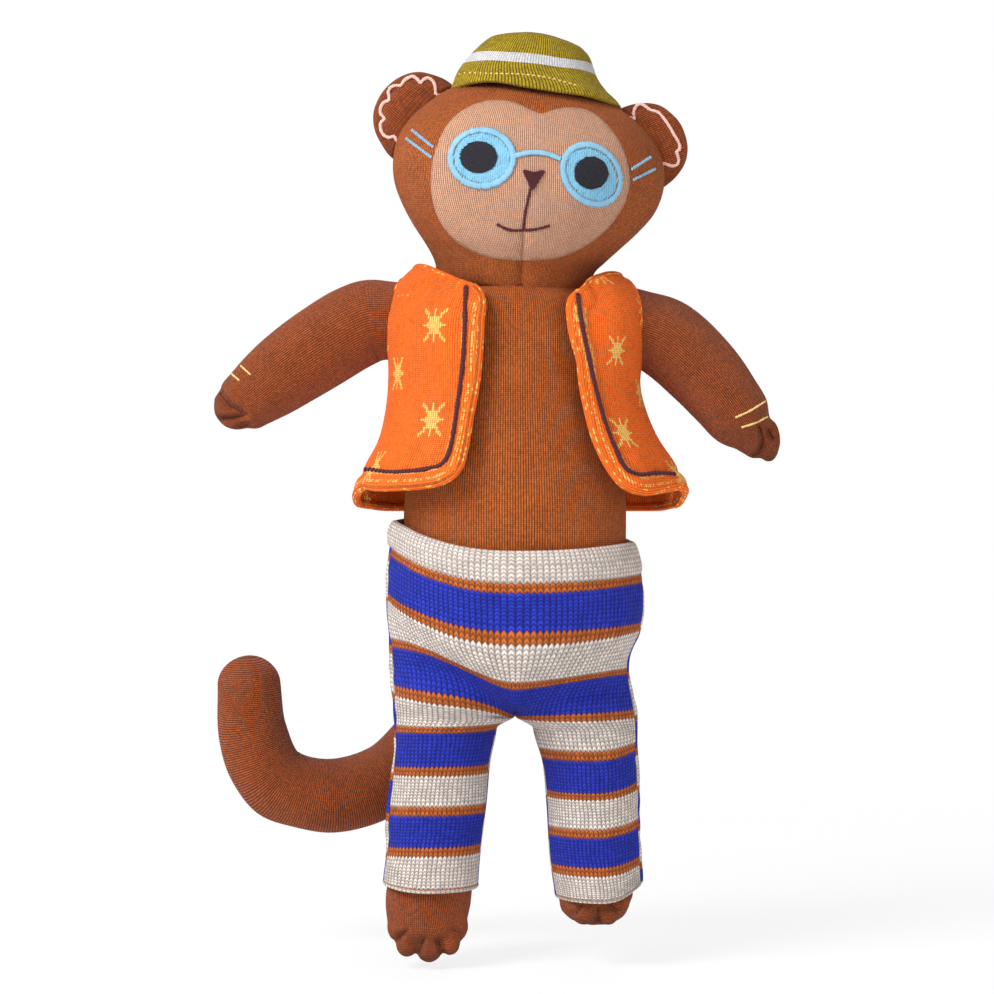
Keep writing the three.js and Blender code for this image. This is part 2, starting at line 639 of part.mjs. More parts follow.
// One part of the shell between two heights over the head's top, under its own crown or open both ways
function hatPart(low, high, crowned) {
  const [from, to] = [headTop + low, headTop + high];
  const [past, roof] = [from - hat.wall, crowned ? to - hat.wall : to + hat.wall];
  const outer = stack(between(from, to, facets.hatSteps), (z) => hatAt(z, 0), facets.hat);
  const inner = stack(between(past, roof, facets.hatSteps), (z) => hatAt(z, -hat.wall), facets.hat);
  return outer.subtract(inner).subtract(headSolid(fit.gap));
}

// Arms, legs and tail

// Fingers lie side by side across the arm's end, the outer ones set back
function armSolid(route, shoulder) {
  const [before, tip] = route.slice(-2).map((p) => new THREE.Vector3(p.x, p.y, p.z).add(shoulder));
  const along = tip.clone().sub(before).normalize();
  const across = new THREE.Vector3().crossVectors(axisY, along).normalize();
  const fingers = Array.from({ length: finger.count }, (_, i) => {
    const side = (i - (finger.count - 1) / 2) * finger.spread;
    const centre = tip.clone().addScaledVector(across, side)
      .addScaledVector(along, finger.length / 2 - Math.abs(side) * fingerBow_share);
    return lobe(centre, [across, axisY, along], finger.radius, finger.length);
  });
  return joinAll(limb(route, shoulder), fingers);
}

function legSolid(route, toeShares, hip) {
  const [before, tip] = route.slice(-2).map((p) => new THREE.Vector3(p.x, p.y, p.z));
  const deep = new THREE.Vector3().crossVectors(tip.sub(before).normalize(), axisX).normalize();
  const toes = toeShares.map(([x, y, z, size]) => {
    const radius = size * leg.radius;
    const centre = new THREE.Vector3(x, y, z).multiplyScalar(leg.reach).add(hip);
    return lobe(centre, [axisX, axisY, axisZ], radius, radius * toeLength_share);
  });
  return joinAll(limb(route, hip, { flat: deep }), toes);
}

// The tail starts straight, inside the torso
function tailSolid() {
  const route = routeOf(tail_shares, tail.reach, tail.baseRadius);
  const root = { ...route[0], y: tail.root };
  const spread = new THREE.Vector3(1, 1, -1).normalize();
  const finish = { flat: spread, steps: facets.tailSteps, startRound: 0, endRound: 0.9 };
  return limb([root, ...route], tailSeat, finish);
}

// Waistcoat

function vestAt(z, grow) {
  const share = (z - vest.hem) / (vest.top - vest.hem);
  const [right, left, front, back, roundness] = readRows(vest_shares, share);
  return {
    wide: torso.halfWidth * right + grow,
    other: torso.halfWidth * left + grow,
    before: torso.halfDepth * front + grow,
    thick: torso.halfDepth * back + grow,
    roundness,
  };
}

const vestFolds = (z) => {
  const share = Math.max(1 - (z - vest.hem) / (torso.top - vest.hem), 0);
  return { folds: vest.folds, foldDepth: vest.foldDepth * share };
};

function vestSolid() {
  const rows = between(vest.hem, vest.top, facets.vestSteps);
  const innerRows = between(vest.hem - vest.wall, vest.top + vest.wall, facets.vestSteps);
  const outer = stack(rows, (z) => vestAt(z, 0), facets.vest, vestFolds);
  const inner = stack(innerRows, (z) => vestAt(z, -vest.wall), facets.vest, vestFolds);
  const place = ([x, z]) => ({ x: x * torso.halfWidth, z: z * vest.top });
  const opening = vestOpening_shares.map(place);
  const [first, last] = [opening[0], opening[opening.length - 1]];
  const aside = torso.halfWidth * 2;
  const floor = vest.hem - fit.overrun;
  const nape = vestNape_shares.map(place);
  const sky = vest.top + fit.overrun;
  const behind = [...nape, { x: nape[nape.length - 1].x, z: sky }, { x: nape[0].x, z: sky }];
  return cutAll(outer, [
    inner,
    frontPlate([
      { x: -aside, z: floor }, { x: -aside, z: first.z },
      ...opening,
      { x: aside, z: last.z }, { x: aside, z: floor },
    ], -fit.overrun * 2, 0),
    frontPlate(behind, 0, fit.overrun * 2),
    limb(armRight, shoulders[0], { grow: fit.gap }),
    limb(armLeft, shoulders[1], { grow: fit.gap }),
    torsoSkin(fit.gap),
    ...headRoom(),
  ]);
}

// The space that the head's underside takes up as it turns and nods
function headRoom() {
  const turned = (x, y, z) => new THREE.Euler(round(x), round(y), round(z), 'ZXY');
  const poses = [
    [0, 0], [head.nodLimit, 0], [-head.nodLimit, 0], [0, head.turnLimit], [0, -head.turnLimit],
    [head.nodLimit, head.turnLimit], [head.nodLimit, -head.turnLimit],
    [-head.nodLimit, head.turnLimit], [-head.nodLimit, -head.turnLimit],
  ];
  return poses.map(([nod, turn]) => {
    const place = new THREE.Matrix4().makeRotationFromEuler(turned(nod, head.tilt, turn));
    return headSolid(fit.gap).transform(place.setPosition(neckMiddle).toArray());
  });
}

// The torso without its sockets, set out by a gap
function torsoSkin(grow) {
  return stack(between(torso.bottom, torso.top, facets.torsoSteps), (z) => {
    const { wide, thick } = torsoAt(z);
    return { wide: wide + grow, thick: thick + grow };
  }, facets.torso);
}

// Trousers, their rolled waistband and the hems

const waistAt = (x, y) => trousers.waistHeight + waistTilt_share.x * x + waistTilt_share.y * y;

function hipsAt(z, grow) {
  const share = (trousers.waistHeight - z) / (trousers.waistHeight - trousers.crotch);
  const [right, left, front, back] = readRows(hip_shares, share);
  return {
    wide: torso.halfWidth * right + grow,
    other: torso.halfWidth * left + grow,
    before: torso.halfDepth * front + grow,
    thick: torso.halfDepth * back + grow,
  };
}

const cuffTop_share = 0.55; // where the legs start inside the hips, as a share of the torso's own lower part
const swell_shares = { low: 0.72, more: 0.28 };

function legAt(side, z, grow) {
  const down = THREE.MathUtils.clamp((leg.hipZ - z) / (leg.hipZ - trousers.hem), 0, 1);
  const cuffTop = torso.bottom * cuffTop_share;
  const rise = THREE.MathUtils.smoothstep(cuffTop - z, 0, cuffTop - leg.hipZ);
  const swell = swell_shares.low + swell_shares.more * rise;
  const row = readRows(trouserLeg_shares, down).map((share) => share * leg.hipX);
  const [inner, outer] = side < 0 ? row.slice(0, 2) : row.slice(2);
  return {
    wide: ((outer - inner) / 2) * swell + grow,
    thick: row[row.length - 1] * swell + grow,
    x: (side * (outer + inner)) / 2,
  };
}

// One trouser leg, which swells out of the hips and hangs to its hem
function trouserLeg(side, grow, bottom) {
  const heights = between(bottom, torso.bottom * cuffTop_share, facets.cuffSteps);
  return stack(heights, (z) => legAt(side, z, grow), facets.cuff, (z) => {
    const down = THREE.MathUtils.clamp((leg.hipZ - z) / (leg.hipZ - trousers.hem), 0, 1);
    return { folds: trousers.folds, foldDepth: trousers.foldDepth * Math.sin(Math.PI * down) };
  });
}

// Everything over the slanted plane of the waist, raised or lowered
function aboveWaist(lift) {
  const size = fit.overrun * 4;
  const geometry = new THREE.BoxGeometry(size, size, size);
  geometry.translate(0, 0, size / 2);
  geometry.rotateX(Math.atan(waistTilt_share.y));
  geometry.rotateY(-Math.atan(waistTilt_share.x));
  geometry.translate(0, 0, trousers.waistHeight + lift);
  return solid(geometry);
}

function trousersSolid() {
  const top = torso.halfWidth / 2;
  const lining = between(trousers.crotch + trousers.wall, top + trousers.wall, facets.hipSteps);
  const outer = joinAll(
    stack(between(trousers.crotch, top, facets.hipSteps), (z) => hipsAt(z, 0), facets.hips),
    [-1, 1].map((side) => trouserLeg(side, 0, trousers.hem)),
  );
  const inner = joinAll(
    stack(lining, (z) => hipsAt(z, -trousers.wall), facets.hips),
    [-1, 1].map((side) => trouserLeg(side, -trousers.wall, trousers.hem - trousers.wall)),
  );
  return cutAll(outer, [
    inner,
    aboveWaist(-trousers.band - fit.gap),
    rod(tailSeat, tail.baseRadius + tail.socket, 0, fit.overrun * 2),
    torsoSkin(fit.gap),
  ]);
}

// A roll of cloth round the waist, on the slanted plane
function waistbandSolid() {
  const places = facets.band;
  const rings = Array.from({ length: places }, (_, i) => {
    const angle = (2 * Math.PI * i) / places;
    const at = (turn) => {
      const guess = torsoAt(waistAt(torso.halfWidth * Math.cos(turn), torso.halfDepth * Math.sin(turn)));
      const reach = fit.gap * 2 + trousers.band;
      const x = (guess.wide + reach) * Math.cos(turn);
      const y = (guess.thick + reach) * Math.sin(turn);
      return new THREE.Vector3(x, y, waistAt(x, y));
    };
    const step = (2 * Math.PI) / places;
    const along = at(angle + step).sub(at(angle - step)).normalize();
    const out = new THREE.Vector3().crossVectors(along, axisZ).normalize();
    const up = new THREE.Vector3().crossVectors(out, along).normalize();
    return ring(at(angle), out, up, { wide: trousers.band, thick: trousers.band, sides: facets.roll });
  });
  return solid(skin(rings));
}

// The looser stitches round a leg's lower edge
function hemSolid(side, legPiece) {
  const places = facets.cuff;
  const { thick, high } = trousers.cuff;
  const size = legAt(side, trousers.hem, -thick);
  const centre = new THREE.Vector3(size.x, 0, trousers.hem - fit.gap - high);
  const rings = Array.from({ length: places }, (_, i) => {
    const angle = (2 * Math.PI * i) / places;
    const out = new THREE.Vector3(Math.cos(angle), Math.sin(angle), 0);
    const reach = new THREE.Vector3(size.wide * Math.cos(angle), size.thick * Math.sin(angle), 0);
    return ring(centre.clone().add(reach), out, axisZ, { wide: thick, thick: high, sides: facets.roll });
  });
  return solid(skin(rings)).subtract(legPiece);
}

// The doll

const paint = {
  brown: [0xa65826, 0.95], face: [0xc89673, 0.95], blue: [0x92cce6, 0.7], dark: [0x282630, 0.7],
  maroon: [0x552323, 0.8], olive: [0x999221, 0.9], white: [0xe6e2da, 0.9], orange: [0xf26f1e, 0.92],
  cream: [0xd7d0c6, 0.95], pink: [0xebbeb4, 0.9],
};

function piece(name, colour, made) {
  const [color, roughness] = paint[colour];
  const material = new THREE.MeshStandardMaterial({ color, roughness, metalness: 0 });
  const mesh = new THREE.Mesh(shape(made), material);
  mesh.name = name;
  return mesh;
}

const doll = new THREE.Group();
const headGroup = new THREE.Group();
headGroup.position.copy(neckMiddle);
headGroup.rotation.y = round(head.tilt);
doll.add(headGroup);

doll.add(piece('torso', 'brown', torsoSolid()));
doll.add(piece('neck', 'brown', neckSolid()));

const grooves = [-1, 1].map((side) => earSolid(side, fit.joint, true));
const neckHollow = ball(new THREE.Vector3(), neck.radius + fit.joint);
headGroup.add(piece('head', 'brown', cutAll(headSolid(0), [...grooves, neckHollow])));
headGroup.add(piece('face_patch', 'face', patchSolid()));
headGroup.add(piece('glasses_rim_right', 'blue', rimSolid(glasses.right)));
headGroup.add(piece('glasses_rim_left', 'blue', rimSolid(glasses.left)));
headGroup.add(piece('glasses_lens_right', 'blue', lensSolid(glasses.right)));
headGroup.add(piece('glasses_lens_left', 'blue', lensSolid(glasses.left)));
headGroup.add(piece('glasses_bridge', 'blue', bridgeSolid()));
headGroup.add(piece('pupil_right', 'dark', pupilSolid(pupil.right)));
headGroup.add(piece('pupil_left', 'dark', pupilSolid(pupil.left)));
for (const [side, lines] of Object.entries(temple_shares)) {
  const names = ['upper', 'lower'];
  lines.forEach((line, i) => headGroup.add(piece(`temple_${side}_${names[i]}`, 'blue', templeSolid(line))));
}
headGroup.add(piece('nose', 'maroon', noseSolid()));
headGroup.add(piece('mouth', 'maroon', mouthSolid()));
headGroup.add(piece('ear_right', 'brown', earSolid(-1, 0)));
headGroup.add(piece('ear_left', 'brown', earSolid(1, 0)));
headGroup.add(piece('ear_trim_right', 'pink', earTrimSolid(-1)));
headGroup.add(piece('ear_trim_left', 'pink', earTrimSolid(1)));
headGroup.add(piece('hat_crown', 'olive', hatPart(hat.bandTop + fit.gap, hat.top, true)));
headGroup.add(piece('hat_band', 'white', hatPart(hat.bandBottom, hat.bandTop, false)));
headGroup.add(piece('hat_brim', 'olive', hatPart(-hat.low, hat.bandBottom - fit.gap, false)));

const legPieces = [
  legSolid(legRight, toesRight_shares, hips[0]),
  legSolid(legLeft, toesLeft_shares, hips[1]),
];
doll.add(piece('arm_right', 'brown', armSolid(armRight, shoulders[0])));
doll.add(piece('arm_left', 'brown', armSolid(armLeft, shoulders[1])));
doll.add(piece('leg_right', 'brown', legPieces[0]));
doll.add(piece('leg_left', 'brown', legPieces[1]));
doll.add(piece('tail', 'brown', tailSolid()));
doll.add(piece('vest', 'orange', vestSolid()));
doll.add(piece('trousers', 'cream', trousersSolid()));
doll.add(piece('trousers_waistband', 'cream', waistbandSolid()));
doll.add(piece('trousers_hem_right', 'cream', hemSolid(-1, legPieces[0])));
doll.add(piece('trousers_hem_left', 'cream', hemSolid(1, legPieces[1])));

export default doll;
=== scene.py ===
"""Knitted monkey doll with glasses, bucket hat, open waistcoat and striped trousers.

Shapes are worked out in millimetres in the doll's own frame, +Z up, the doll facing -Y with its left hand on the +X
side, and go into the meshes in metres. Places that are "seen from the front" lie on the plane Y = 0 as the camera sees
it, and are carried along the camera's sight line to the surface that they are sewn to.
"""

import logging
import math
from dataclasses import dataclass
from enum import Enum
from typing import Sequence

import bpy
import numpy as np
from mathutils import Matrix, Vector
from mathutils.bvhtree import BVHTree
from mathutils.geometry import delaunay_2d_cdt


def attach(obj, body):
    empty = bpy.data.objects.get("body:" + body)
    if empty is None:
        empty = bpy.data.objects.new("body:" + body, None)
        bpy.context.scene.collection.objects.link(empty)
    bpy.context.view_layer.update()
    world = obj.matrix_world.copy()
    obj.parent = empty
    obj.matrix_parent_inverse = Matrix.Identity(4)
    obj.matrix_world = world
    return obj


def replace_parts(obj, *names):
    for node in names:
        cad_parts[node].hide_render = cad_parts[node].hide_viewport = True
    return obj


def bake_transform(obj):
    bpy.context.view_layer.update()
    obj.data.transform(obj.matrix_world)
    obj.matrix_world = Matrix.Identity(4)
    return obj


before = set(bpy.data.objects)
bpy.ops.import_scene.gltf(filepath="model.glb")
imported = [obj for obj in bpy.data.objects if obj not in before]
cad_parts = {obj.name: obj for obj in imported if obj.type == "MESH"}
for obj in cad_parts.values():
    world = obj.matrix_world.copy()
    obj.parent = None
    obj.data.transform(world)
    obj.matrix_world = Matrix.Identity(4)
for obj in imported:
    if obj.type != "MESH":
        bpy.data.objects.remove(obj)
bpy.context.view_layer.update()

logging.basicConfig(level=logging.INFO, format="%(name)s: %(message)s")
log = logging.getLogger("doll")

MM = 0.001
EYE = np.array((-8.46, -1300.0, 1.41))  # the camera
WALE, COURSE = 1.1, 0.95  # one stitch of the body's knitting
TROUSER_WALES = 70  # round one trouser leg
STAR_ROWS = 47.0  # from one star down to the next
KNIT = "knit"  # the map that counts stitches across and up
Pair = tuple[float, float]
Rows = Sequence[Sequence[float]]


# Reading tables and lines


def unit(vectors: np.ndarray) -> np.ndarray:
    """Scales vectors to length one."""
    return vectors / np.maximum(np.linalg.norm(vectors, axis=-1, keepdims=True), 1e-9)


def ease(values: np.ndarray | float, low: float, high: float) -> np.ndarray:
    """Rises smoothly from 0 at low to 1 at high."""
    t = np.clip((np.asarray(values, float) - low) / (high - low), 0, 1)
    return t * t * (3 - 2 * t)


def read_rows(rows: Rows, places: np.ndarray | float) -> np.ndarray:
    """Reads a table smoothly between its rows.

    Args:
        rows: Each row starts with its place, in rising order.
        places: Where to read, of any shape.

    Returns:
        The other columns at those places, along one more axis at the end.
    """
    table = np.asarray(rows, float)
    knots, values = table[:, 0], table[:, 1:]
    slopes = np.gradient(values, knots, axis=0)
    at = np.clip(np.asarray(places, float), knots[0], knots[-1])
    i = np.clip(np.searchsorted(knots, at, side="right") - 1, 0, len(knots) - 2)
    span = (knots[i + 1] - knots[i])[..., None]
    t = (at - knots[i])[..., None] / span
    start, end, rise, fall = values[i], values[i + 1], slopes[i] * span, slopes[i + 1] * span
    return (start * (2 * t**3 - 3 * t**2 + 1) + rise * (t**3 - 2 * t**2 + t)
            + end * (3 * t**2 - 2 * t**3) + fall * (t**3 - t**2))


def smooth_line(points: Sequence[Sequence[float]], step: float, closed: bool = False) -> np.ndarray:
    """Draws a smooth line through points.

    Args:
        points: The points, of two or three numbers.
        step: The distance between the line's own points.
        closed: Whether the line comes back to its start.

    Returns:
        The line's points, without a second copy of the start where it is closed.
    """
    corners = np.asarray(points, float)
    if closed:
        corners = np.vstack([corners[-2:], corners, corners[:3]])
    run = np.concatenate([[0], np.cumsum(np.linalg.norm(np.diff(corners, axis=0), axis=1))])
    low, high = (run[2], run[-3]) if closed else (0, run[-1])
    count = max(int(round((high - low) / step)), 2)
    return read_rows(np.column_stack([run, corners]), np.linspace(low, high, count + 1))[: -1 if closed else None]


def ripple(points: np.ndarray, size: float, seed: int) -> np.ndarray:
    """Gives soft uneven values from -1 to 1 that vary over about one size, the same at each run."""
    chance = np.random.default_rng(seed)
    waves = unit(chance.normal(size=(7, 3))) / size * chance.uniform(0.6, 1.5, (7, 1)) * 2 * math.pi
    return np.sin(points @ waves.T + chance.uniform(0, 2 * math.pi, 7)).mean(axis=-1) * 1.8


# Making meshes


def new_object(name: str, mesh: bpy.types.Mesh) -> bpy.types.Object:
    """Links a mesh to the scene as an object at the origin."""
    made = bpy.data.objects.new(name, mesh)
    bpy.context.scene.collection.objects.link(made)
    return made


def make_mesh(name: str, points: np.ndarray, faces: Sequence, knit: np.ndarray | None = None) -> bpy.types.Object:
    """Makes an object from points in millimetres.

    Args:
        name: The piece's name.
        points: The corners.
        faces: Each face's corners by number.
        knit: Stitches across and up, one row for each corner of each face.

    Returns:
        The object, shaded smooth.
    """
    mesh = bpy.data.meshes.new(name)
    mesh.from_pydata((np.asarray(points) * MM).tolist(), [], [list(map(int, f)) for f in faces])
    if knit is not None:
        mesh.uv_layers.new(name=KNIT).data.foreach_set("uv", np.asarray(knit, np.float32).ravel())
    mesh.shade_smooth()
    return new_object(name, mesh)


def corners_of(piece: bpy.types.Object) -> np.ndarray:
    """Reads an object's corners in millimetres."""
    found = np.zeros(len(piece.data.vertices) * 3, np.float32)
    piece.data.vertices.foreach_get("co", found)
    return found.reshape(-1, 3).astype(float) / MM


def face_outwards(piece: bpy.types.Object) -> None:
    """Turns a closed piece's faces outwards if they point in."""
    piece.data.calc_loop_triangles()
    count = len(piece.data.loop_triangles)
    found = np.zeros(count * 3, np.int32)
    piece.data.loop_triangles.foreach_get("vertices", found)
    a, b, c = (corners_of(piece)[found.reshape(-1, 3)[:, k]] for k in range(3))
    if np.einsum("ij,ij->i", a, np.cross(b, c)).sum() < 0:
        piece.data.flip_normals()


def tube(name: str, rings: np.ndarray, knit: np.ndarray) -> bpy.types.Object:
    """Makes a closed body of rings with a pole at each end.

    Args:
        name: The piece's name.
        rings: Points by ring and by side.
        knit: Stitches by ring and by side, with one side more than the rings have.

    Returns:
        The object.
    """
    count, sides = rings.shape[:2]
    i, j = (grid.ravel() for grid in np.meshgrid(np.arange(count - 1), np.arange(sides), indexing="ij"))
    near, far = i * sides, (i + 1) * sides
    quads = np.stack([near + j, near + (j + 1) % sides, far + (j + 1) % sides, far + j], 1)
    at = np.stack([i * (sides + 1) + j, i * (sides + 1) + j + 1,
                   (i + 1) * (sides + 1) + j + 1, (i + 1) * (sides + 1) + j], 1)
    flat = knit.reshape(-1, 2)
    faces, maps = quads.tolist(), [flat[at.ravel()]]
    points = np.vstack([rings.reshape(-1, 3), rings[0].mean(0), rings[-1].mean(0)])
    for pole, row, turned in ((count * sides, 0, True), (count * sides + 1, count - 1, False)):
        for k in range(sides):
            a, b = row * sides + k, row * sides + (k + 1) % sides
            faces.append([pole, b, a] if turned else [pole, a, b])
            one, other = knit[row, k], knit[row, k + 1]
            maps.append(np.stack([(one + other) / 2, other, one] if turned else [(one + other) / 2, one, other]))
    made = make_mesh(name, points, faces, np.vstack(maps))
    face_outwards(made)
    return made


def count_stitches(rings: np.ndarray, wales: float, course: float, crossed: bool = False) -> np.ndarray:
    """Counts the stitches of a tube, the wales running along it or, where crossed, round it."""
    run = np.linalg.norm(np.diff(rings, axis=0), axis=2).mean(1)
    up = np.concatenate([[0], np.cumsum(run)]) / course
    across = np.linspace(0, wales, rings.shape[1] + 1)
    made = np.stack(np.broadcast_arrays(across[None, :], up[:, None]), -1)
    return made[..., ::-1] if crossed else made


def evaluated(piece: bpy.types.Object, name: str) -> bpy.types.Object:
    """Turns an object and its modifiers into a plain object, and removes the first."""
    graph = bpy.context.evaluated_depsgraph_get()
    mesh = bpy.data.meshes.new_from_object(piece.evaluated_get(graph), depsgraph=graph)
    bpy.data.objects.remove(piece)
    mesh.name = name
    return new_object(name, mesh)


@dataclass
class Route:
    """A smooth line with a half width and a half depth at each point, for what is stuffed along it."""

    points: Rows  # x, y, z, half width, half depth
    flat: tuple[float, float, float] = (0, 1, 0)  # the way that the depth is measured

    def __post_init__(self) -> None:
        """Measures how far along the line each point is."""
        table = np.asarray(self.points, float)
        steps = np.linalg.norm(np.diff(table[:, :3], axis=0), axis=1)
        self.table = np.column_stack([np.concatenate([[0], np.cumsum(steps)]), table])
        self.length = float(self.table[-1, 0])

    def at(self, places: np.ndarray) -> tuple[np.ndarray, ...]:
        """Reads the line.

        Args:
            places: Distances along it.

        Returns:
            The middle, the ways along, across and deep, and the two half sizes.
        """
        row = read_rows(self.table, places)
        ahead, behind = (read_rows(self.table, np.clip(places + d, 0, self.length))[..., :3] for d in (0.5, -0.5))
        along = unit(ahead - behind)
        across = unit(np.cross(np.asarray(self.flat, float), along))
        return row[..., :3], along, across, unit(np.cross(along, across)), row[..., 3:5]

    def rings(self, count: int, sides: int, start: float, end: float) -> np.ndarray:
        """Makes rings along the line, with rounded ends.

        Args:
            count: Rings between the two ends.
            sides: Points in each ring.
            start: How long the rounding before the start is, as a share of the half size there.
            end: The same past the end.

        Returns:
            Points by ring and by side.
        """
        turns = np.linspace(0, math.pi / 2, 12)[1:-1]
        places = np.concatenate([turns * 0, np.linspace(0, self.length, count), turns * 0 + self.length])
        middle, along, across, deep, size = self.at(places)
        past = np.concatenate([-np.sin(turns[::-1]) * start, np.zeros(count), np.sin(turns) * end])
        shrink = np.concatenate([np.cos(turns[::-1]), np.ones(count), np.cos(turns)])
        middle = middle + along * (past * size.min(1))[:, None]
        angle = np.linspace(0, 2 * math.pi, sides, endpoint=False)
        return (middle[:, None] + across[:, None] * (size[:, :1] * shrink[:, None] * np.cos(angle))[..., None]
                + deep[:, None] * (size[:, 1:] * shrink[:, None] * np.sin(angle))[..., None])


def wrap_stitches(piece: bpy.types.Object, route: Route, wales: float, course: float) -> None:
    """Gives any body that follows a route its stitches, counted round and along the route."""
    spots = np.linspace(0, route.length, 160)
    middle, along, across, deep, size = route.at(spots)
    points = corners_of(piece)
    near = np.concatenate([np.linalg.norm(part[:, None] - middle[None], axis=2).argmin(1)
                           for part in np.array_split(points, max(len(points) // 4000, 1))])
    way = points - middle[near]
    angle = np.arctan2((way * deep[near]).sum(1) / size[near, 1], (way * across[near]).sum(1) / size[near, 0])
    up = (spots[near] + (way * along[near]).sum(1)) / course
    loops = np.zeros(len(piece.data.loops), np.int32)
    piece.data.loops.foreach_get("vertex_index", loops)
    starts = np.zeros(len(piece.data.polygons), np.int32)
    totals = np.zeros(len(piece.data.polygons), np.int32)
    piece.data.polygons.foreach_get("loop_start", starts)
    piece.data.polygons.foreach_get("loop_total", totals)
    first = angle[loops[np.repeat(starts, totals)]]
    turned = first + (angle[loops] - first + math.pi) % (2 * math.pi) - math.pi
    knit = np.stack([turned / (2 * math.pi) * wales, up[loops]], 1)
    piece.data.uv_layers.new(name=KNIT).data.foreach_set("uv", knit.astype(np.float32).ravel())


@dataclass
class Cloth:
    """A flat region that is laid on a curved surface."""

    points: np.ndarray  # across and up on the flat
    faces: list[list[int]]

    @classmethod
    def cut(cls, edges: Sequence[np.ndarray], spacing: float) -> "Cloth":
        """Cuts a region along its edges.

        Args:
            edges: Closed lines, the outer one first and then each hole.
            spacing: The distance between the points inside.

        Returns:
            The region as triangles.
        """
        outer = edges[0]
        low, high = outer.min(0), outer.max(0)
        axes = [np.arange(low[k] + spacing / 2, high[k], spacing) for k in (0, 1)]
        inside = np.stack(np.meshgrid(*axes), -1).reshape(-1, 2)
        inside[:, 0] += (np.round(inside[:, 1] / spacing) % 2) * spacing / 2
        border = np.vstack(edges)
        gaps = np.concatenate([np.linalg.norm(part[:, None] - border[None], axis=2).min(1)
                               for part in np.array_split(inside, max(len(inside) // 2000, 1))])
        inside = inside[gaps > spacing * 0.55]
        loops, start = [], 0
        for edge in edges:
            loops.append([[start + k, start + (k + 1) % len(edge)] for k in range(len(edge))])
            start += len(edge)
        spots = [Vector(p) for p in np.vstack([border, inside])]
        made = delaunay_2d_cdt(spots, [pair for loop in loops for pair in loop], [], 0, 1e-5)
        points = np.array([tuple(p) for p in made[0]])
        faces = [list(face) for face in made[2]]
        middles = np.array([points[face].mean(0) for face in faces])
        kept = within(middles, edges[0])
        for hole in edges[1:]:
            kept &= ~within(middles, hole)
        faces = [face for face, keep in zip(faces, kept) if keep]
        used = sorted({corner for face in faces for corner in face})
        number = {old: new for new, old in enumerate(used)}
        return cls(points[used], [[number[corner] for corner in face] for face in faces])


def within(points: np.ndarray, outline: np.ndarray) -> np.ndarray:
    """Says which points lie inside a closed outline."""
    found = np.zeros(len(points), bool)
    for a, b in zip(outline, np.roll(outline, -1, axis=0)):
        spans = (a[1] > points[:, 1]) != (b[1] > points[:, 1])
        rise = b[1] - a[1]
        across = a[0] + (points[:, 1] - a[1]) / (rise if abs(rise) > 1e-9 else 1e-9) * (b[0] - a[0])
        found ^= spans & (points[:, 0] < across)
    return found


def distance_to(points: np.ndarray, line: np.ndarray) -> np.ndarray:
    """Measures how far points are from a line's own points."""
    return np.concatenate([np.linalg.norm(part[:, None] - line[None], axis=2).min(1)
                           for part in np.array_split(points, max(len(points) // 1500, 1))])


# Node trees


def add_node(tree: bpy.types.NodeTree, kind: str, inputs: dict | None = None, **settings: object) -> bpy.types.Node:
    """Adds a node.

    Args:
        tree: The tree that takes it.
        kind: The node's type.
        inputs: Values or sockets, by an input's name or number.
        **settings: The node's own settings.

    Returns:
        The node.
    """
    node = tree.nodes.new(kind)
    for name, value in settings.items():
        setattr(node, name, value)
    for key, value in (inputs or {}).items():
        if isinstance(value, bpy.types.NodeSocket):
            tree.links.new(value, node.inputs[key])
        else:
            node.inputs[key].default_value = value
    return node


def linear(colour: str) -> tuple[float, float, float, float]:
    """Turns a colour written as six hex digits into the numbers that a shader takes."""
    parts = [int(colour[k:k + 2], 16) / 255 for k in (0, 2, 4)]
    return (*[c / 12.92 if c <= 0.04045 else ((c + 0.055) / 1.055) ** 2.4 for c in parts], 1.0)


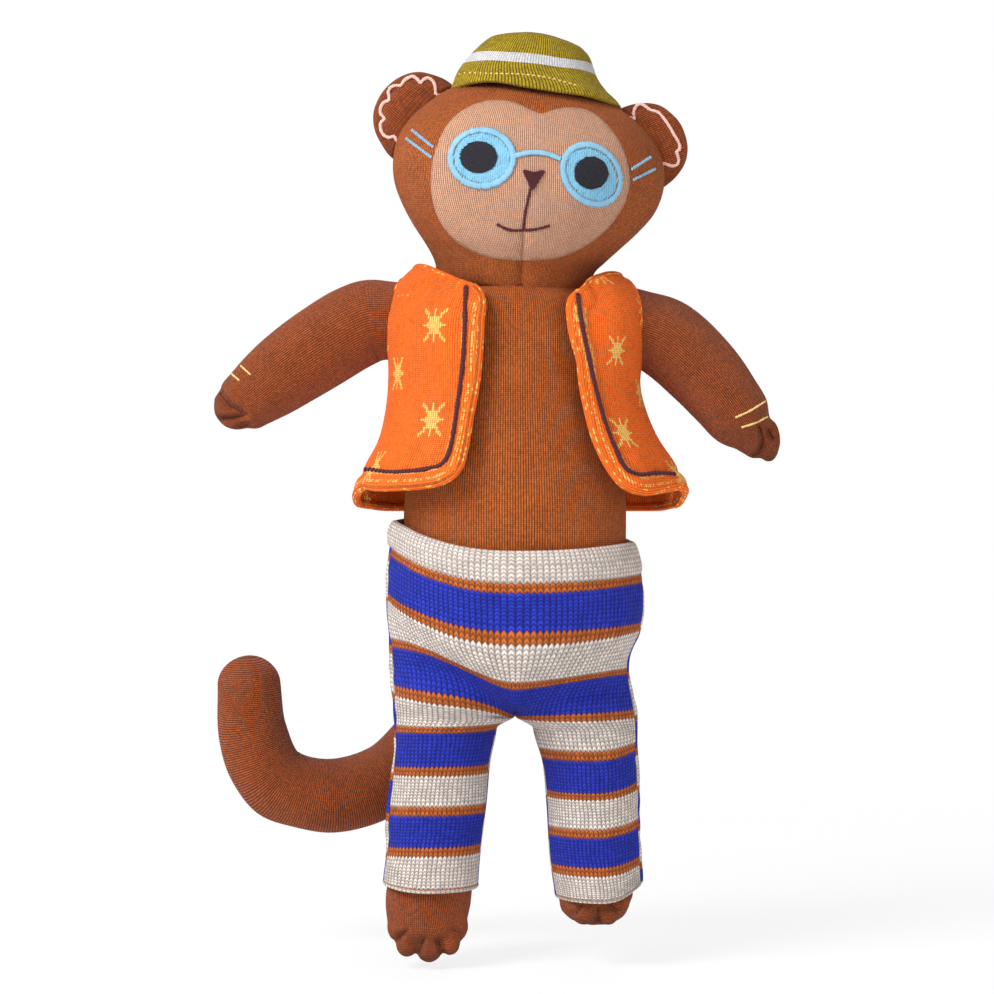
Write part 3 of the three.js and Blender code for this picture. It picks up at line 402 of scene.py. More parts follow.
class Shader:
    """A material that is built node by node round one shader."""

    def __init__(self, name: str) -> None:
        """Starts an empty material of that name."""
        self.material = bpy.data.materials.new(name)
        self.material.use_nodes = True
        self.tree = self.material.node_tree
        self.surface = self.tree.nodes["Principled BSDF"]

    def add(self, kind: str, inputs: dict | None = None, **settings: object) -> bpy.types.Node:
        """Adds a node to the material."""
        return add_node(self.tree, kind, inputs, **settings)

    def math(self, operation: str, *values: object) -> bpy.types.NodeSocket:
        """Works out one number from others."""
        return self.add("ShaderNodeMath", dict(enumerate(values)), operation=operation).outputs[0]

    def mix(self, factor: object, first: object, second: object) -> bpy.types.NodeSocket:
        """Mixes two colours."""
        return self.add("ShaderNodeMix", {0: factor, 6: first, 7: second}, data_type="RGBA").outputs[2]

    def either(self, *masks: object) -> bpy.types.NodeSocket:
        """Is 1 where any of the masks is."""
        found = masks[0]
        for mask in masks[1:]:
            found = self.math("MAXIMUM", found, mask)
        return found

    def both(self, *masks: object) -> bpy.types.NodeSocket:
        """Is 1 where all the masks are."""
        found = masks[0]
        for mask in masks[1:]:
            found = self.math("MULTIPLY", found, mask)
        return found

    def shade(self, colour: object, value: object) -> bpy.types.NodeSocket:
        """Makes a colour lighter or darker."""
        return self.add("ShaderNodeHueSaturation", {"Value": value, "Color": colour}).outputs[0]

    def finish(self, colour: object, height: object, depth: float, rough: float, sheen: float) -> bpy.types.Material:
        """Joins what was worked out to the shader.

        Args:
            colour: The colour socket.
            height: The height socket, 0 to 1.
            depth: What a height of 1 is, in millimetres.
            rough: The roughness.
            sheen: How much the fibres catch the light.

        Returns:
            The material.
        """
        bump = self.add("ShaderNodeBump", {"Strength": 1.0, "Distance": depth * MM, "Height": height})
        self.tree.links.new(bump.outputs[0], self.surface.inputs["Normal"])
        self.tree.links.new(colour, self.surface.inputs["Base Color"])
        for name, value in {"Roughness": rough, "Sheen Weight": sheen, "Sheen Roughness": 0.6,
                            "Specular IOR Level": 0.1}.items():
            self.surface.inputs[name].default_value = value
        return self.material


class Pattern(Enum):
    """What is knitted into a fabric."""

    PLAIN = "plain"
    STRIPES = "stripes"
    STARS = "stars"
    SPECKLES = "speckles"


@dataclass(frozen=True)
class Knit:
    """Plain knitting, with its stitches counted by the piece's own map."""

    name: str
    colour: str
    pattern: Pattern = Pattern.PLAIN
    # Painted shade: the colour is darkened in the gaps between and inside the stitches, where shade falls.
    gap_shade: float = 2.4  # how much darker it is between the stitches
    depth: float = 0.5  # of the stitches, in millimetres
    slant: float = 0.6  # how far each stitch's leg rises, in stitches
    crease: float = 0.3  # how deep the middle of a stitch is, as a share of the gaps between the wales
    tight: float = 0.5  # the same for the gaps between the rows
    spread: float = 0.22  # how much single stitches differ
    mottle: float = 0.3
    sheen: float = 0.02
    second: str = "ffc468"
    third: str = "a0592e"
    peek: float = 0.0  # how much the second yarn shows between the stitches

    def stripes(self, s: Shader, row: object, base: object) -> object:
        """Colours rows in turn: the base, a thin third, a wide second and a thin third."""
        turn = s.math("MODULO", s.math("ADD", row, 22 * 4 - 8), 22)
        wide = s.both(s.math("GREATER_THAN", turn, 1.5), s.math("LESS_THAN", turn, 10.5))
        thin = s.either(s.math("LESS_THAN", turn, 1.5),
                        s.both(s.math("GREATER_THAN", turn, 10.5), s.math("LESS_THAN", turn, 12.5)))
        return s.mix(thin, s.mix(wide, base, linear(self.second)), linear(self.third))

    def star(self, s: Shader, across: object, up: object) -> object:
        """Is 1 in an eight-rayed star, from stitches across and up."""
        low = s.math("LESS_THAN", up, 8.2)
        upright = s.both(s.math("LESS_THAN", across, 0.7), low)
        level = s.both(s.math("LESS_THAN", up, 0.7), s.math("LESS_THAN", across, 5.6))
        ray = s.math("ABSOLUTE", s.math("SUBTRACT", across, s.math("MULTIPLY", up, 0.62)))
        slanted = s.both(s.math("LESS_THAN", ray, 0.9), low)
        middle = s.math("LESS_THAN", s.math("ADD", across, s.math("MULTIPLY", up, 0.75)), 4.3)
        return s.either(upright, level, slanted, middle)

    def stars(self, s: Shader, wale: object, row: object) -> object:
        """Is 1 in stars that stand in staggered rows."""
        masks = []
        for shift in (0.0, 0.5):
            across, up = (
                s.math("ABSOLUTE", s.math("SUBTRACT", s.math("MODULO", s.math("ADD", place, period * (40.5 + shift)),
                                                             period), period / 2))
                for place, period in ((wale, 50.0), (row, STAR_ROWS)))
            masks.append(self.star(s, across, up))
        return s.either(*masks)

    def speckles(self, s: Shader, wale: object, row: object, share: float) -> object:
        """Is 1 in a share of the single stitches."""
        spot = s.add("ShaderNodeCombineXYZ", {0: wale, 1: row}).outputs[0]
        return s.math("LESS_THAN", s.add("ShaderNodeTexWhiteNoise", {0: spot},
                                         noise_dimensions="2D").outputs[0], share)

    def flecks(self, s: Shader, wale: object, row: object) -> object:
        """Is 1 in the two dotted lines that run along the waistcoat's edge."""
        edge = s.add("ShaderNodeAttribute", attribute_name="edge").outputs["Fac"]
        lines = [s.math("LESS_THAN", s.math("ABSOLUTE", s.math("SUBTRACT", edge, at)), half)
                 for at, half in ((6.2, 0.9), (2.4, 0.6))]
        return s.both(s.either(*lines), self.speckles(s, wale, row, 0.55))

    def material(self) -> bpy.types.Material:
        """Builds the material."""
        s = Shader(self.name)
        uv = s.add("ShaderNodeUVMap", uv_map=KNIT).outputs[0]
        split = s.add("ShaderNodeSeparateXYZ", {0: uv})
        u, v = split.outputs[0], split.outputs[1]
        side = s.math("MULTIPLY", s.math("ABSOLUTE", s.math("SUBTRACT", s.math("FRACT", u), 0.5)), 2.0)
        lean = s.math("SUBTRACT", v, s.math("MULTIPLY", side, self.slant))
        wale, row = s.math("FLOOR", u), s.math("FLOOR", lean)
        gap = s.math("POWER", side, 2.0)
        middle = s.math("MULTIPLY", s.math("POWER", s.math("SUBTRACT", 1.0, side), 4.0), self.crease)
        ends = s.math("POWER", s.math("SUBTRACT", s.math("MULTIPLY", s.math("FRACT", lean), 2.0), 1.0), 2.0)
        yarn = s.both(*(s.math("SUBTRACT", 1.0, part)
                        for part in (gap, middle, s.math("MULTIPLY", ends, self.tight))))
        colour = linear(self.colour)
        if self.pattern is Pattern.STRIPES:
            colour = self.stripes(s, row, colour)
        if self.pattern is Pattern.STARS:
            starry = s.add("ShaderNodeAttribute", attribute_name="starry").outputs["Fac"]
            marked = s.either(s.both(self.flecks(s, wale, row), 0.8), s.both(self.stars(s, wale, row), starry))
            colour = s.mix(marked, colour, linear(self.second))
        if self.pattern is Pattern.SPECKLES:
            colour = s.mix(self.speckles(s, wale, row, 0.12), colour, linear(self.second))
        if self.peek:
            between = s.math("MULTIPLY", s.math("SUBTRACT", 1.0, yarn), self.peek)
            colour = s.mix(between, colour, linear(self.second))
        fibres = s.add("ShaderNodeTexNoise", {"Vector": uv, "Scale": 2.3, "Detail": 4.0, "Roughness": 0.7},
                       noise_dimensions="2D").outputs[0]
        patches = s.add("ShaderNodeTexNoise", {"Vector": uv, "Scale": 0.06, "Detail": 2.0},
                        noise_dimensions="2D").outputs[0]
        stitch = s.add("ShaderNodeCombineXYZ", {0: wale, 1: row}).outputs[0]
        chance = s.add("ShaderNodeTexWhiteNoise", {0: stitch}, noise_dimensions="2D").outputs[0]
        parts = [s.math("MULTIPLY", s.math("SUBTRACT", part, 0.5), size)
                 for part, size in ((fibres, self.mottle * 2), (patches, self.mottle), (chance, self.spread * 2))]
        uneven = s.math("ADD", s.math("ADD", parts[0], parts[1]), parts[2])
        level = 0.6 * (1 - self.tight / 3)  # of the yarn on the whole
        # Painted shade darkens the gaps between and inside the stitches; the uneven part is the yarn's own random tone.
        light = s.math("MULTIPLY", s.math("ADD", uneven, 1.0), s.math(
            "MAXIMUM", s.math("ADD", s.math("MULTIPLY", yarn, self.gap_shade), 1.0 - self.gap_shade * level), 0.08))
        height = s.math("ADD", yarn, s.math("MULTIPLY", fibres, 0.35))
        return s.finish(s.shade(colour, light), height, self.depth, 0.92, self.sheen)


@dataclass(frozen=True)
class Thread:
    """Glossier thread of embroidery."""

    name: str
    colour: str
    mottle: float = 0.3
    rough: float = 0.5

    def material(self) -> bpy.types.Material:
        """Builds the material, with strands too fine to be modelled."""
        s = Shader(self.name)
        place = s.add("ShaderNodeTexCoord").outputs["Object"]
        strands = s.add("ShaderNodeTexNoise", {"Vector": place, "Scale": 2600.0, "Detail": 3.0}).outputs[0]
        light = s.math("ADD", s.math("MULTIPLY", s.math("SUBTRACT", strands, 0.5), self.mottle * 2), 1.0)
        return s.finish(s.shade(linear(self.colour), light), strands, 0.12, self.rough, 0.1)


class Finish(Enum):
    """Every finish of the doll, with the record's slot that it stands for."""

    BROWN = (Knit("brown_cotton", "a05223", sheen=0.05), "brown_knit")
    # Painted shade: a darker copy of the body's brown yarn, for the arms, legs, ears and tail, which fall in more shade
    # than the torso.
    SHADED_BROWN = (Knit("shaded_brown_cotton", "8b4119", sheen=0.09), "brown_knit")
    FACE = (Knit("face_cotton", "c7977c", gap_shade=1.6, spread=0.1, mottle=0.16), "face_knit")
    OLIVE = (Knit("olive_cotton", "98801e", gap_shade=2.1, mottle=0.4), "olive_knit")
    WHITE = (Knit("white_cotton", "d0ced0", gap_shade=0.5, spread=0.1), "white_knit")
    ORANGE = (Knit("orange_cotton", "fb6519", Pattern.STARS, 1.6, spread=0.14, mottle=0.2, tight=0.8, peek=0.2),
              "orange_knit")
    EDGE = (Knit("orange_roll_cotton", "fb681c", Pattern.SPECKLES, 1.1, spread=0.1, mottle=0.2, peek=0.15),
            "orange_knit")
    STRIPED = (Knit("striped_cotton", "cfc3bb", Pattern.STRIPES, 1.3, 0.8, tight=0.9, spread=0.15, mottle=0.22,
                    second="2733a3", third="a8592a"), "striped_knit")
    CREAM = (Knit("cream_cotton", "cfc3bb", Pattern.PLAIN, 1.1, 0.7, tight=0.9, spread=0.12, mottle=0.2), "cream_knit")
    BLUE = (Thread("pale_blue_cotton", "93c5df"), "blue_thread")
    LENS = (Thread("lens_blue_cotton", "84bfdb"), "blue_thread")
    DARK = (Thread("dark_cotton", "27252d"), "dark_thread")
    MAROON = (Thread("maroon_cotton", "4e2028"), "maroon_thread")
    # Real stitches between the fingers and toes, whose dark colour is painted crease shade.
    SHADE = (Thread("crease_shade_cotton", "4a2817"), "maroon_thread")
    PINK = (Thread("pink_cotton", "efc3b6"), "pink_yarn")
    YELLOW = (Thread("yellow_cotton", "ebc880"), "cream_knit")

    def __init__(self, finish: Knit | Thread, slot: str) -> None:
        """Keeps the finish and its slot apart."""
        self.finish, self.slot = finish, slot

    def material(self) -> bpy.types.Material:
        """Builds the material once, and gives it again after that."""
        return bpy.data.materials.get(self.finish.name) or self.finish.material()


def dress(piece: bpy.types.Object, finish: Finish) -> bpy.types.Object:
    """Gives a piece its finish's material."""
    piece.data.materials.clear()
    piece.data.materials.append(finish.material())
    return piece


class NodeTree:
    """A geometry tree with named inputs."""

    def __init__(self, name: str, inputs: dict[str, str]) -> None:
        """Starts a tree.

        Args:
            name: The tree's name.
            inputs: The kind of each named input.
        """
        self.tree = bpy.data.node_groups.new(name, "GeometryNodeTree")
        face = self.tree.interface
        face.new_socket("Geometry", in_out="INPUT", socket_type="NodeSocketGeometry")
        for label, kind in inputs.items():
            face.new_socket(label, in_out="INPUT", socket_type=f"NodeSocket{kind}")
        face.new_socket("Geometry", in_out="OUTPUT", socket_type="NodeSocketGeometry")
        self.given = self.tree.nodes.new("NodeGroupInput").outputs
        self.end = self.tree.nodes.new("NodeGroupOutput")

    def add(self, kind: str, inputs: dict | None = None, **settings: object) -> bpy.types.Node:
        """Adds a node to the tree."""
        return add_node(self.tree, kind, inputs, **settings)

    def math(self, operation: str, *values: object) -> bpy.types.NodeSocket:
        """Works out one number from others."""
        return self.add("ShaderNodeMath", dict(enumerate(values)), operation=operation).outputs[0]

    def read(self, name: str, kind: str = "FLOAT") -> bpy.types.NodeSocket:
        """Reads a named attribute."""
        return self.add("GeometryNodeInputNamedAttribute", {"Name": name}, data_type=kind).outputs[0]

    def close(self, shape: bpy.types.NodeSocket) -> None:
        """Ends the tree with real, smooth geometry in its material."""
        real = self.add("GeometryNodeRealizeInstances", {0: shape}).outputs[0]
        smooth = self.add("GeometryNodeSetShadeSmooth", {0: real}).outputs[0]
        done = self.add("GeometryNodeSetMaterial", {0: smooth, "Material": self.given["Material"]}).outputs[0]
        self.tree.links.new(done, self.end.inputs[0])

    def run(self, guide: bpy.types.Object, name: str, values: dict[str, object]) -> bpy.types.Object:
        """Runs the tree on a guide.

        Args:
            guide: The object that carries the places, which is used up.
            name: The new piece's name.
            values: The tree's inputs by name.

        Returns:
            The piece, a plain mesh.
        """
        modifier = guide.modifiers.new("shape", "NODES")
        modifier.node_group = self.tree
        for item in self.tree.interface.items_tree:
            if item.in_out == "INPUT" and item.name in values:
                modifier[item.identifier] = values[item.name]
        return evaluated(guide, name)


class StitchTree(NodeTree):
    """Lays one thread at each place, along its own way."""

    def __init__(self) -> None:
        """Builds the tree."""
        super().__init__("stitches", {"Width": "Float", "Height": "Float", "Unevenness": "Float", "Seed": "Int",
                                      "Material": "Material"})
        thread = self.add("GeometryNodeMeshUVSphere", {"Segments": 6, "Rings": 5, "Radius": 0.5}).outputs[0]
        turn = self.add("FunctionNodeAxesToRotation", {0: self.read("along", "FLOAT_VECTOR"),
                                                       1: self.read("normal", "FLOAT_VECTOR")},
                        primary_axis="X", secondary_axis="Z").outputs[0]
        chance = self.add("FunctionNodeRandomValue", {
            2: self.math("SUBTRACT", 1.0, self.given["Unevenness"]),
            3: self.math("ADD", 1.0, self.given["Unevenness"]), "Seed": self.given["Seed"]},
            data_type="FLOAT").outputs[1]
        size = self.add("ShaderNodeCombineXYZ", {
            0: self.math("MULTIPLY", self.read("span"), chance),
            1: self.math("MULTIPLY", self.given["Width"], chance), 2: self.given["Height"]}).outputs[0]
        laid = self.add("GeometryNodeInstanceOnPoints", {
            "Points": self.given["Geometry"], "Instance": thread, "Rotation": turn, "Scale": size}).outputs[0]
        self.close(laid)


class RollTree(NodeTree):
    """Runs a round roll of any girth along a line, and counts its stitches."""

    def __init__(self) -> None:
        """Builds the tree."""
        super().__init__("rolls", {"Sides": "Int", "Wales": "Float", "Course": "Float", "Material": "Material"})
        line = self.add("GeometryNodeMeshToCurve", {0: self.given["Geometry"]}).outputs[0]
        place = self.add("GeometryNodeSplineParameter")
        ring = self.add("GeometryNodeCurvePrimitiveCircle", {"Resolution": self.given["Sides"], "Radius": 1.0})
        kept = []
        for shape, value in ((line, place.outputs["Length"]), (ring.outputs[0], place.outputs["Factor"])):
            keep = self.add("GeometryNodeCaptureAttribute", {0: shape}, domain="POINT")
            keep.capture_items.new("FLOAT", "place")
            self.tree.links.new(value, keep.inputs[1])
            kept.append(keep.outputs)
        roll = self.add("GeometryNodeCurveToMesh", {
            "Curve": kept[0][0], "Profile Curve": kept[1][0], "Scale": self.read("girth"),
            "Fill Caps": True}).outputs[0]
        stitches = self.add("ShaderNodeCombineXYZ", {
            0: self.math("MULTIPLY", kept[1][1], self.given["Wales"]),
            1: self.math("DIVIDE", kept[0][1], self.given["Course"])}).outputs[0]
        self.close(self.add("GeometryNodeStoreNamedAttribute", {0: roll, "Name": KNIT, "Value": stitches},
                            data_type="FLOAT2", domain="CORNER").outputs[0])


STITCH_TREE, ROLL_TREE = StitchTree(), RollTree()


def roll(name: str, line: np.ndarray, girth: np.ndarray | float, finish: Finish, closed: bool = False,
         sides: int = 12, wales: float = 10, course: float = COURSE) -> bpy.types.Object:
    """Makes a roll of cloth or thread along a line.

    Args:
        name: The piece's name.
        line: The line's points in millimetres.
        girth: The roll's radius, or one for each point.
        finish: Its finish.
        closed: Whether the line comes back to its start.
        sides: Points round the roll.
        wales: Stitches round the roll.
        course: The length of a stitch along it, in millimetres.

    Returns:
        The piece.
    """
    mesh = bpy.data.meshes.new(name)
    edges = [(k, k + 1) for k in range(len(line) - 1)] + ([(len(line) - 1, 0)] if closed else [])
    mesh.from_pydata((line * MM).tolist(), edges, [])
    radius = np.broadcast_to(np.asarray(girth, float) * MM, len(line)).astype(np.float32)
    mesh.attributes.new("girth", "FLOAT", "POINT").data.foreach_set("value", radius)
    made = ROLL_TREE.run(new_object(name + "_line", mesh), name, {
        "Sides": sides, "Wales": float(wales), "Course": course * MM, "Material": finish.material()})
    return made


@dataclass
class Surface:
    """A finished body that things are sewn to."""

    piece: bpy.types.Object

    def __post_init__(self) -> None:
        """Reads the body's faces once."""
        points = corners_of(self.piece)
        faces = [tuple(face.vertices) for face in self.piece.data.polygons]
        self.tree = BVHTree.FromPolygons([Vector(p) for p in points], faces)

    def front(self, places: np.ndarray) -> tuple[np.ndarray, np.ndarray]:
        """Finds where places seen from the front lie on the body.

        Args:
            places: Pairs across and up on the plane Y = 0.

        Returns:
            The points and the ways that the surface faces there.
        """
        spots, faces = [], []
        eye = Vector(EYE)
        for x, z in places:
            way = (Vector((x, 0, z)) - eye).normalized()
            spot, normal, _, _ = self.tree.ray_cast(eye, way)
            if spot is None:
                spot, normal, _, _ = self.tree.find_nearest(Vector((x, -30, z)))
            spots.append(spot)
            faces.append(normal if normal.dot(way) < 0 else -normal)
        return np.array([tuple(p) for p in spots]), unit(np.array([tuple(n) for n in faces]))


@dataclass
class Stitches:
    """Places of single stitches."""

    places: np.ndarray
    along: np.ndarray
    normal: np.ndarray
    span: np.ndarray

    @classmethod
    def line(cls, surface: Surface, points: Sequence[Pair], length: float, gap: float = 0.0,
             lift: float = 0.2, closed: bool = False) -> "Stitches":
        """Lays stitches end to end along a line seen from the front."""
        step = length + gap
        flat = smooth_line(points, step / 2, closed)
        places, normal = surface.front(flat)
        ahead = np.roll(places, -1, 0) - np.roll(places, 1, 0) if closed else np.gradient(places, axis=0)
        some = slice(1, None, 2)
        return cls((places + normal * lift)[some], unit(ahead)[some], normal[some],
                   np.full(len(places[some]), length * 1.12))

    @classmethod
    def band(cls, surface: Surface, points: Sequence[Pair], width: float, pitch: float, lift: float = 0.3,
             closed: bool = False) -> "Stitches":
        """Lays stitches side by side across a line seen from the front, as satin stitch."""
        flat = smooth_line(points, pitch, closed)
        places, normal = surface.front(flat)
        ahead = np.roll(places, -1, 0) - np.roll(places, 1, 0) if closed else np.gradient(places, axis=0)
        return cls(places + normal * lift, unit(np.cross(normal, ahead)), normal, np.full(len(places), width))

    @classmethod
    def fill(cls, surface: Surface, outline: np.ndarray, slope: float, length: float, pitch: float,
             lift: float = 0.25) -> "Stitches":
        """Fills an outline seen from the front with short staggered stitches at one slope in degrees."""
        turn = np.array([[math.cos(math.radians(slope)), math.sin(math.radians(slope))],
                         [-math.sin(math.radians(slope)), math.cos(math.radians(slope))]])
        turned = outline @ turn.T
        low, high = turned.min(0), turned.max(0)
        rows = np.arange(low[1] + pitch / 2, high[1], pitch)
        spots = [(x, y) for k, y in enumerate(rows)
                 for x in np.arange(low[0] + (k * 0.37 % 1) * length, high[0], length)]
        spots = np.array(spots)
        spots = spots[within(spots, turned)]
        flat = spots @ turn
        places, normal = surface.front(flat)
        ends, _ = surface.front(flat + turn[0] * 0.2)
        return cls(places + normal * lift, unit(ends - places), normal, np.full(len(places), length * 1.1))

    def plus(self, other: "Stitches") -> "Stitches":
        """Joins two sets of stitches."""
        return Stitches(*(np.concatenate([getattr(self, part), getattr(other, part)])
                          for part in ("places", "along", "normal", "span")))

    def sew(self, name: str, finish: Finish, width: float, height: float, seed: int = 1,
            uneven: float = 0.12) -> bpy.types.Object:
        """Makes the stitches.

        Args:
            name: The piece's name.
            finish: The thread.
            width: The thread's width in millimetres.
            height: How far it stands up.
            seed: For its unevenness.
            uneven: How much its size varies.

        Returns:
            The piece.
        """
        mesh = bpy.data.meshes.new(name)
        mesh.from_pydata((self.places * MM).tolist(), [], [])
        for part, values in (("along", self.along), ("normal", self.normal)):
            mesh.attributes.new(part, "FLOAT_VECTOR", "POINT").data.foreach_set(
                "vector", values.astype(np.float32).ravel())
        mesh.attributes.new("span", "FLOAT", "POINT").data.foreach_set("value", (self.span * MM).astype(np.float32))
        made = STITCH_TREE.run(new_object(name + "_places", mesh), name, {
            "Width": width * MM, "Height": height * MM, "Unevenness": uneven, "Seed": seed,
            "Material": finish.material()})
        return made


def stuffed(name: str, shapes: Sequence[bpy.types.Object], route: Route, voxel: float, wales: float,
            smoothing: int = 6) -> bpy.types.Object:
    """Grows several closed shapes together into one stuffed skin.

    Args:
        name: The piece's name.
        shapes: The shapes, which are used up.
        route: The line that its knitting follows.
        voxel: The size of its faces in millimetres.
        wales: Stitches round it.
        smoothing: How often it is smoothed.

    Returns:
        The piece.
    """
    points, faces, start = [], [], 0
    for shape in shapes:
        found = corners_of(shape)
        points.append(found)
        faces += [[start + corner for corner in face.vertices] for face in shape.data.polygons]
        start += len(found)
        bpy.data.objects.remove(shape)
    made = make_mesh(name + "_rough", np.vstack(points), faces)
    grow = made.modifiers.new("grow", "REMESH")
    grow.mode, grow.voxel_size = "VOXEL", voxel * MM
    soften = made.modifiers.new("soften", "SMOOTH")
    soften.factor, soften.iterations = 0.5, smoothing
    made = evaluated(made, name)
    made.data.shade_smooth()
    wrap_stitches(made, route, wales, COURSE)
    # Painted shade: the darker copy of the body's brown yarn.
    return dress(made, Finish.SHADED_BROWN)


def draw_in(piece: bpy.types.Object, lines: Sequence[Sequence[Pair]], depth: float, width: float) -> None:
    """Draws a stuffed piece in along lines seen from the front, as its stitches do.

    Args:
        piece: The piece.
        lines: The lines of stitches.
        depth: How far they draw it in, in millimetres.
        width: How wide the dent is.
    """
    points = corners_of(piece)
    normal = np.zeros(points.size, np.float32)
    piece.data.vertex_normals.foreach_get("vector", normal)
    normal = normal.reshape(-1, 3)
    eye = np.asarray(EYE)
    seen = eye[[0, 2]] + (points[:, [0, 2]] - eye[[0, 2]]) * (eye[1] / (eye[1] - points[:, 1]))[:, None]
    gap = distance_to(seen, np.vstack([smooth_line(line, 0.4) for line in lines]))
    pull = depth * np.exp(-((gap / width) ** 2)) - 0.2 * depth * np.exp(-(((gap - 2.2 * width) / width) ** 2))
    points -= normal * (pull * ease(-normal[:, 1], 0, 0.5))[:, None]
    piece.data.vertices.foreach_set("co", (points * MM).astype(np.float32).ravel())
    piece.data.update()


def ball(middle: np.ndarray, sizes: Sequence[float], ways: Sequence[np.ndarray]) -> bpy.types.Object:
    """Makes an egg shape with its three half sizes along three ways."""
    turn, spin = np.meshgrid(np.linspace(0.15, math.pi - 0.15, 14), np.linspace(0, 2 * math.pi, 20, endpoint=False),
                             indexing="ij")
    local = np.stack([np.sin(turn) * np.cos(spin), np.sin(turn) * np.sin(spin), np.cos(turn)], -1) * sizes
    rings = middle + local @ np.stack(ways)
    return tube("lobe", rings, np.zeros((14, 21, 2)))


# The doll's own pieces


@dataclass
class Torso:
    """The stuffed body, from the neck seam down to the hips."""

    bottom: float = -80
    top: float = 98.5
    half_width: float = 52
    half_depth: float = 41
    shares: Rows = ((0, 0.46, 0.4), (0.03, 0.68, 0.58), (0.08, 0.84, 0.76), (0.17, 0.95, 0.92), (0.3, 1, 1),
                    (0.45, 1, 1), (0.6, 0.95, 0.97), (0.74, 0.9, 0.91), (0.86, 0.91, 0.83), (0.93, 0.88, 0.8),
                    (0.975, 0.8, 0.77), (1, 0.68, 0.7))

    def size(self, z: np.ndarray | float) -> np.ndarray:
        """Reads the half width and half depth at a height."""
        share = (np.asarray(z, float) - self.bottom) / (self.top - self.bottom)
        return read_rows(self.shares, share) * (self.half_width, self.half_depth)

    def build(self) -> bpy.types.Object:
        """Builds and dresses the body."""
        heights = np.linspace(self.bottom, self.top, 130)
        angle = np.linspace(0, 2 * math.pi, 180, endpoint=False) + math.pi / 2
        size = self.size(heights)
        rings = np.stack([size[:, :1] * np.cos(angle), size[:, 1:] * np.sin(angle),
                          np.repeat(heights[:, None], len(angle), 1)], -1)
        rings += unit(rings * (1, 1, 0)) * (0.5 * ripple(rings, 46, 3))[..., None]
        made = dress(tube("torso_body", rings, count_stitches(rings, 268, COURSE)), Finish.BROWN)
        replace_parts(made, "torso")
        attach(made, "torso")
        return made


@dataclass
class Head:
    """The stuffed head, in a frame of its own that leans to the doll's left."""

    pivot: tuple[float, float, float] = (0.5, 0, 102.5)
    tilt: float = 7
    # Height, half width on the doll's right and left, half depth in front and behind
    rows: Rows = ((-7, 30, 28, 24, 24), (-4.5, 36.3, 33.8, 27.6, 26.2), (-1.5, 38, 35.3, 29.6, 27.8), (3, 38.6, 35.2, 31.4, 29),
                  (9.3, 41.8, 36.2, 34.8, 31.8), (13.8, 45.2, 39.8, 38.6, 36), (21.7, 51.8, 46.6, 43, 40.6),
                  (29.8, 57.6, 53.6, 46.6, 44.4), (38, 62, 59.4, 49, 47.6), (49.8, 64.4, 62.8, 50, 50),
                  (60, 63.2, 62.2, 48.8, 49), (72, 56.8, 56.4, 44, 44.4), (79, 50.6, 49.6, 39.2, 39.4),
                  (85.3, 43, 39.8, 33, 33), (91, 31, 28.6, 24, 24), (94.6, 17, 16, 13.4, 13.4), (96, 6, 6, 5, 5))

    def place(self, local: np.ndarray) -> np.ndarray:
        """Turns points in the head's frame into the doll's."""
        c, s = math.cos(math.radians(self.tilt)), math.sin(math.radians(self.tilt))
        x, y, z = np.moveaxis(np.asarray(local, float), -1, 0)
        return np.stack([x * c + z * s, y, z * c - x * s], -1) + self.pivot

    def build(self) -> bpy.types.Object:
        """Builds and dresses the head."""
        up = np.concatenate([np.linspace(-7, 90, 150)[:-1], 90 + 6 * np.sin(np.linspace(0, math.pi / 2, 16))])
        angle = np.linspace(0, 2 * math.pi, 240, endpoint=False) + math.pi / 2
        right, left, front, back = (column[:, None] for column in read_rows(self.rows, up).T)
        c, s = np.cos(angle), np.sin(angle)
        x = np.where(c > 0, left, right) * c
        y = np.where(s > 0, back, front) * s
        z = np.broadcast_to(up[:, None], x.shape)
        chin = (1 - ease(z, 17, 25)) * (y < 0)
        crease = np.exp(-(((x - (23.6 - z) * 0.085) / 1.5) ** 2)) * chin
        puff = np.exp(-(((np.abs(x - 1) - 7) / 7) ** 2)) * chin * 0.5
        gathers = np.sin(x * 2.3 + 0.5 * np.sin(z * 0.3)) * ease(z, 78, 86) * (1 - ease(z, 92, 95)) * (y < 0) * 0.3
        rings = np.stack([x, y, z], -1)
        rings += unit(rings - (0, 0, 49)) * (0.5 * ripple(rings, 40, 8) - 2.2 * crease + puff + gathers)[..., None]
        made = dress(tube("head_body", self.place(rings), count_stitches(rings, 330, COURSE)), Finish.BROWN)
        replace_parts(made, "head")
        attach(made, "head")
        return made

    def build_neck(self) -> bpy.types.Object:
        """Builds the gathered neck inside the head's lower edge."""
        up = np.linspace(-13, 12, 30)
        angle = np.linspace(0, 2 * math.pi, 120, endpoint=False)
        radius = 27 - 1.5 * np.cos(up / 5)
        rings = np.stack([radius[:, None] * np.cos(angle) * 1.08, radius[:, None] * np.sin(angle) * 0.86,
                          np.repeat(up[:, None], len(angle), 1)], -1)
        rings += unit(rings * (1, 1, 0)) * (0.4 * np.sin(angle * 30))[None, :, None]
        made = dress(tube("neck_gather", rings + self.pivot, count_stitches(rings, 160, COURSE)), Finish.BROWN)
        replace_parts(made, "neck")
        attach(made, "neck")
        return made


def oval(middle: Pair, wide: float, high: float, turn: float = 0, count: int = 72) -> np.ndarray:
    """Draws an oval seen from the front, turned by degrees."""
    angle = np.linspace(0, 2 * math.pi, count, endpoint=False)
    x, z = wide * np.cos(angle), high * np.sin(angle)
    c, s = math.cos(math.radians(turn)), math.sin(math.radians(turn))
    return np.stack([middle[0] + x * c - z * s, middle[1] + x * s + z * c], 1)


@dataclass
class Lens:
    """One side of the embroidered glasses, seen from the front."""

    side: str
    middle: Pair
    wide: float
    high: float
    turn: float
    pupil: Pair
    pupil_wide: float
    pupil_high: float
    temples: dict[str, Sequence[Pair]]


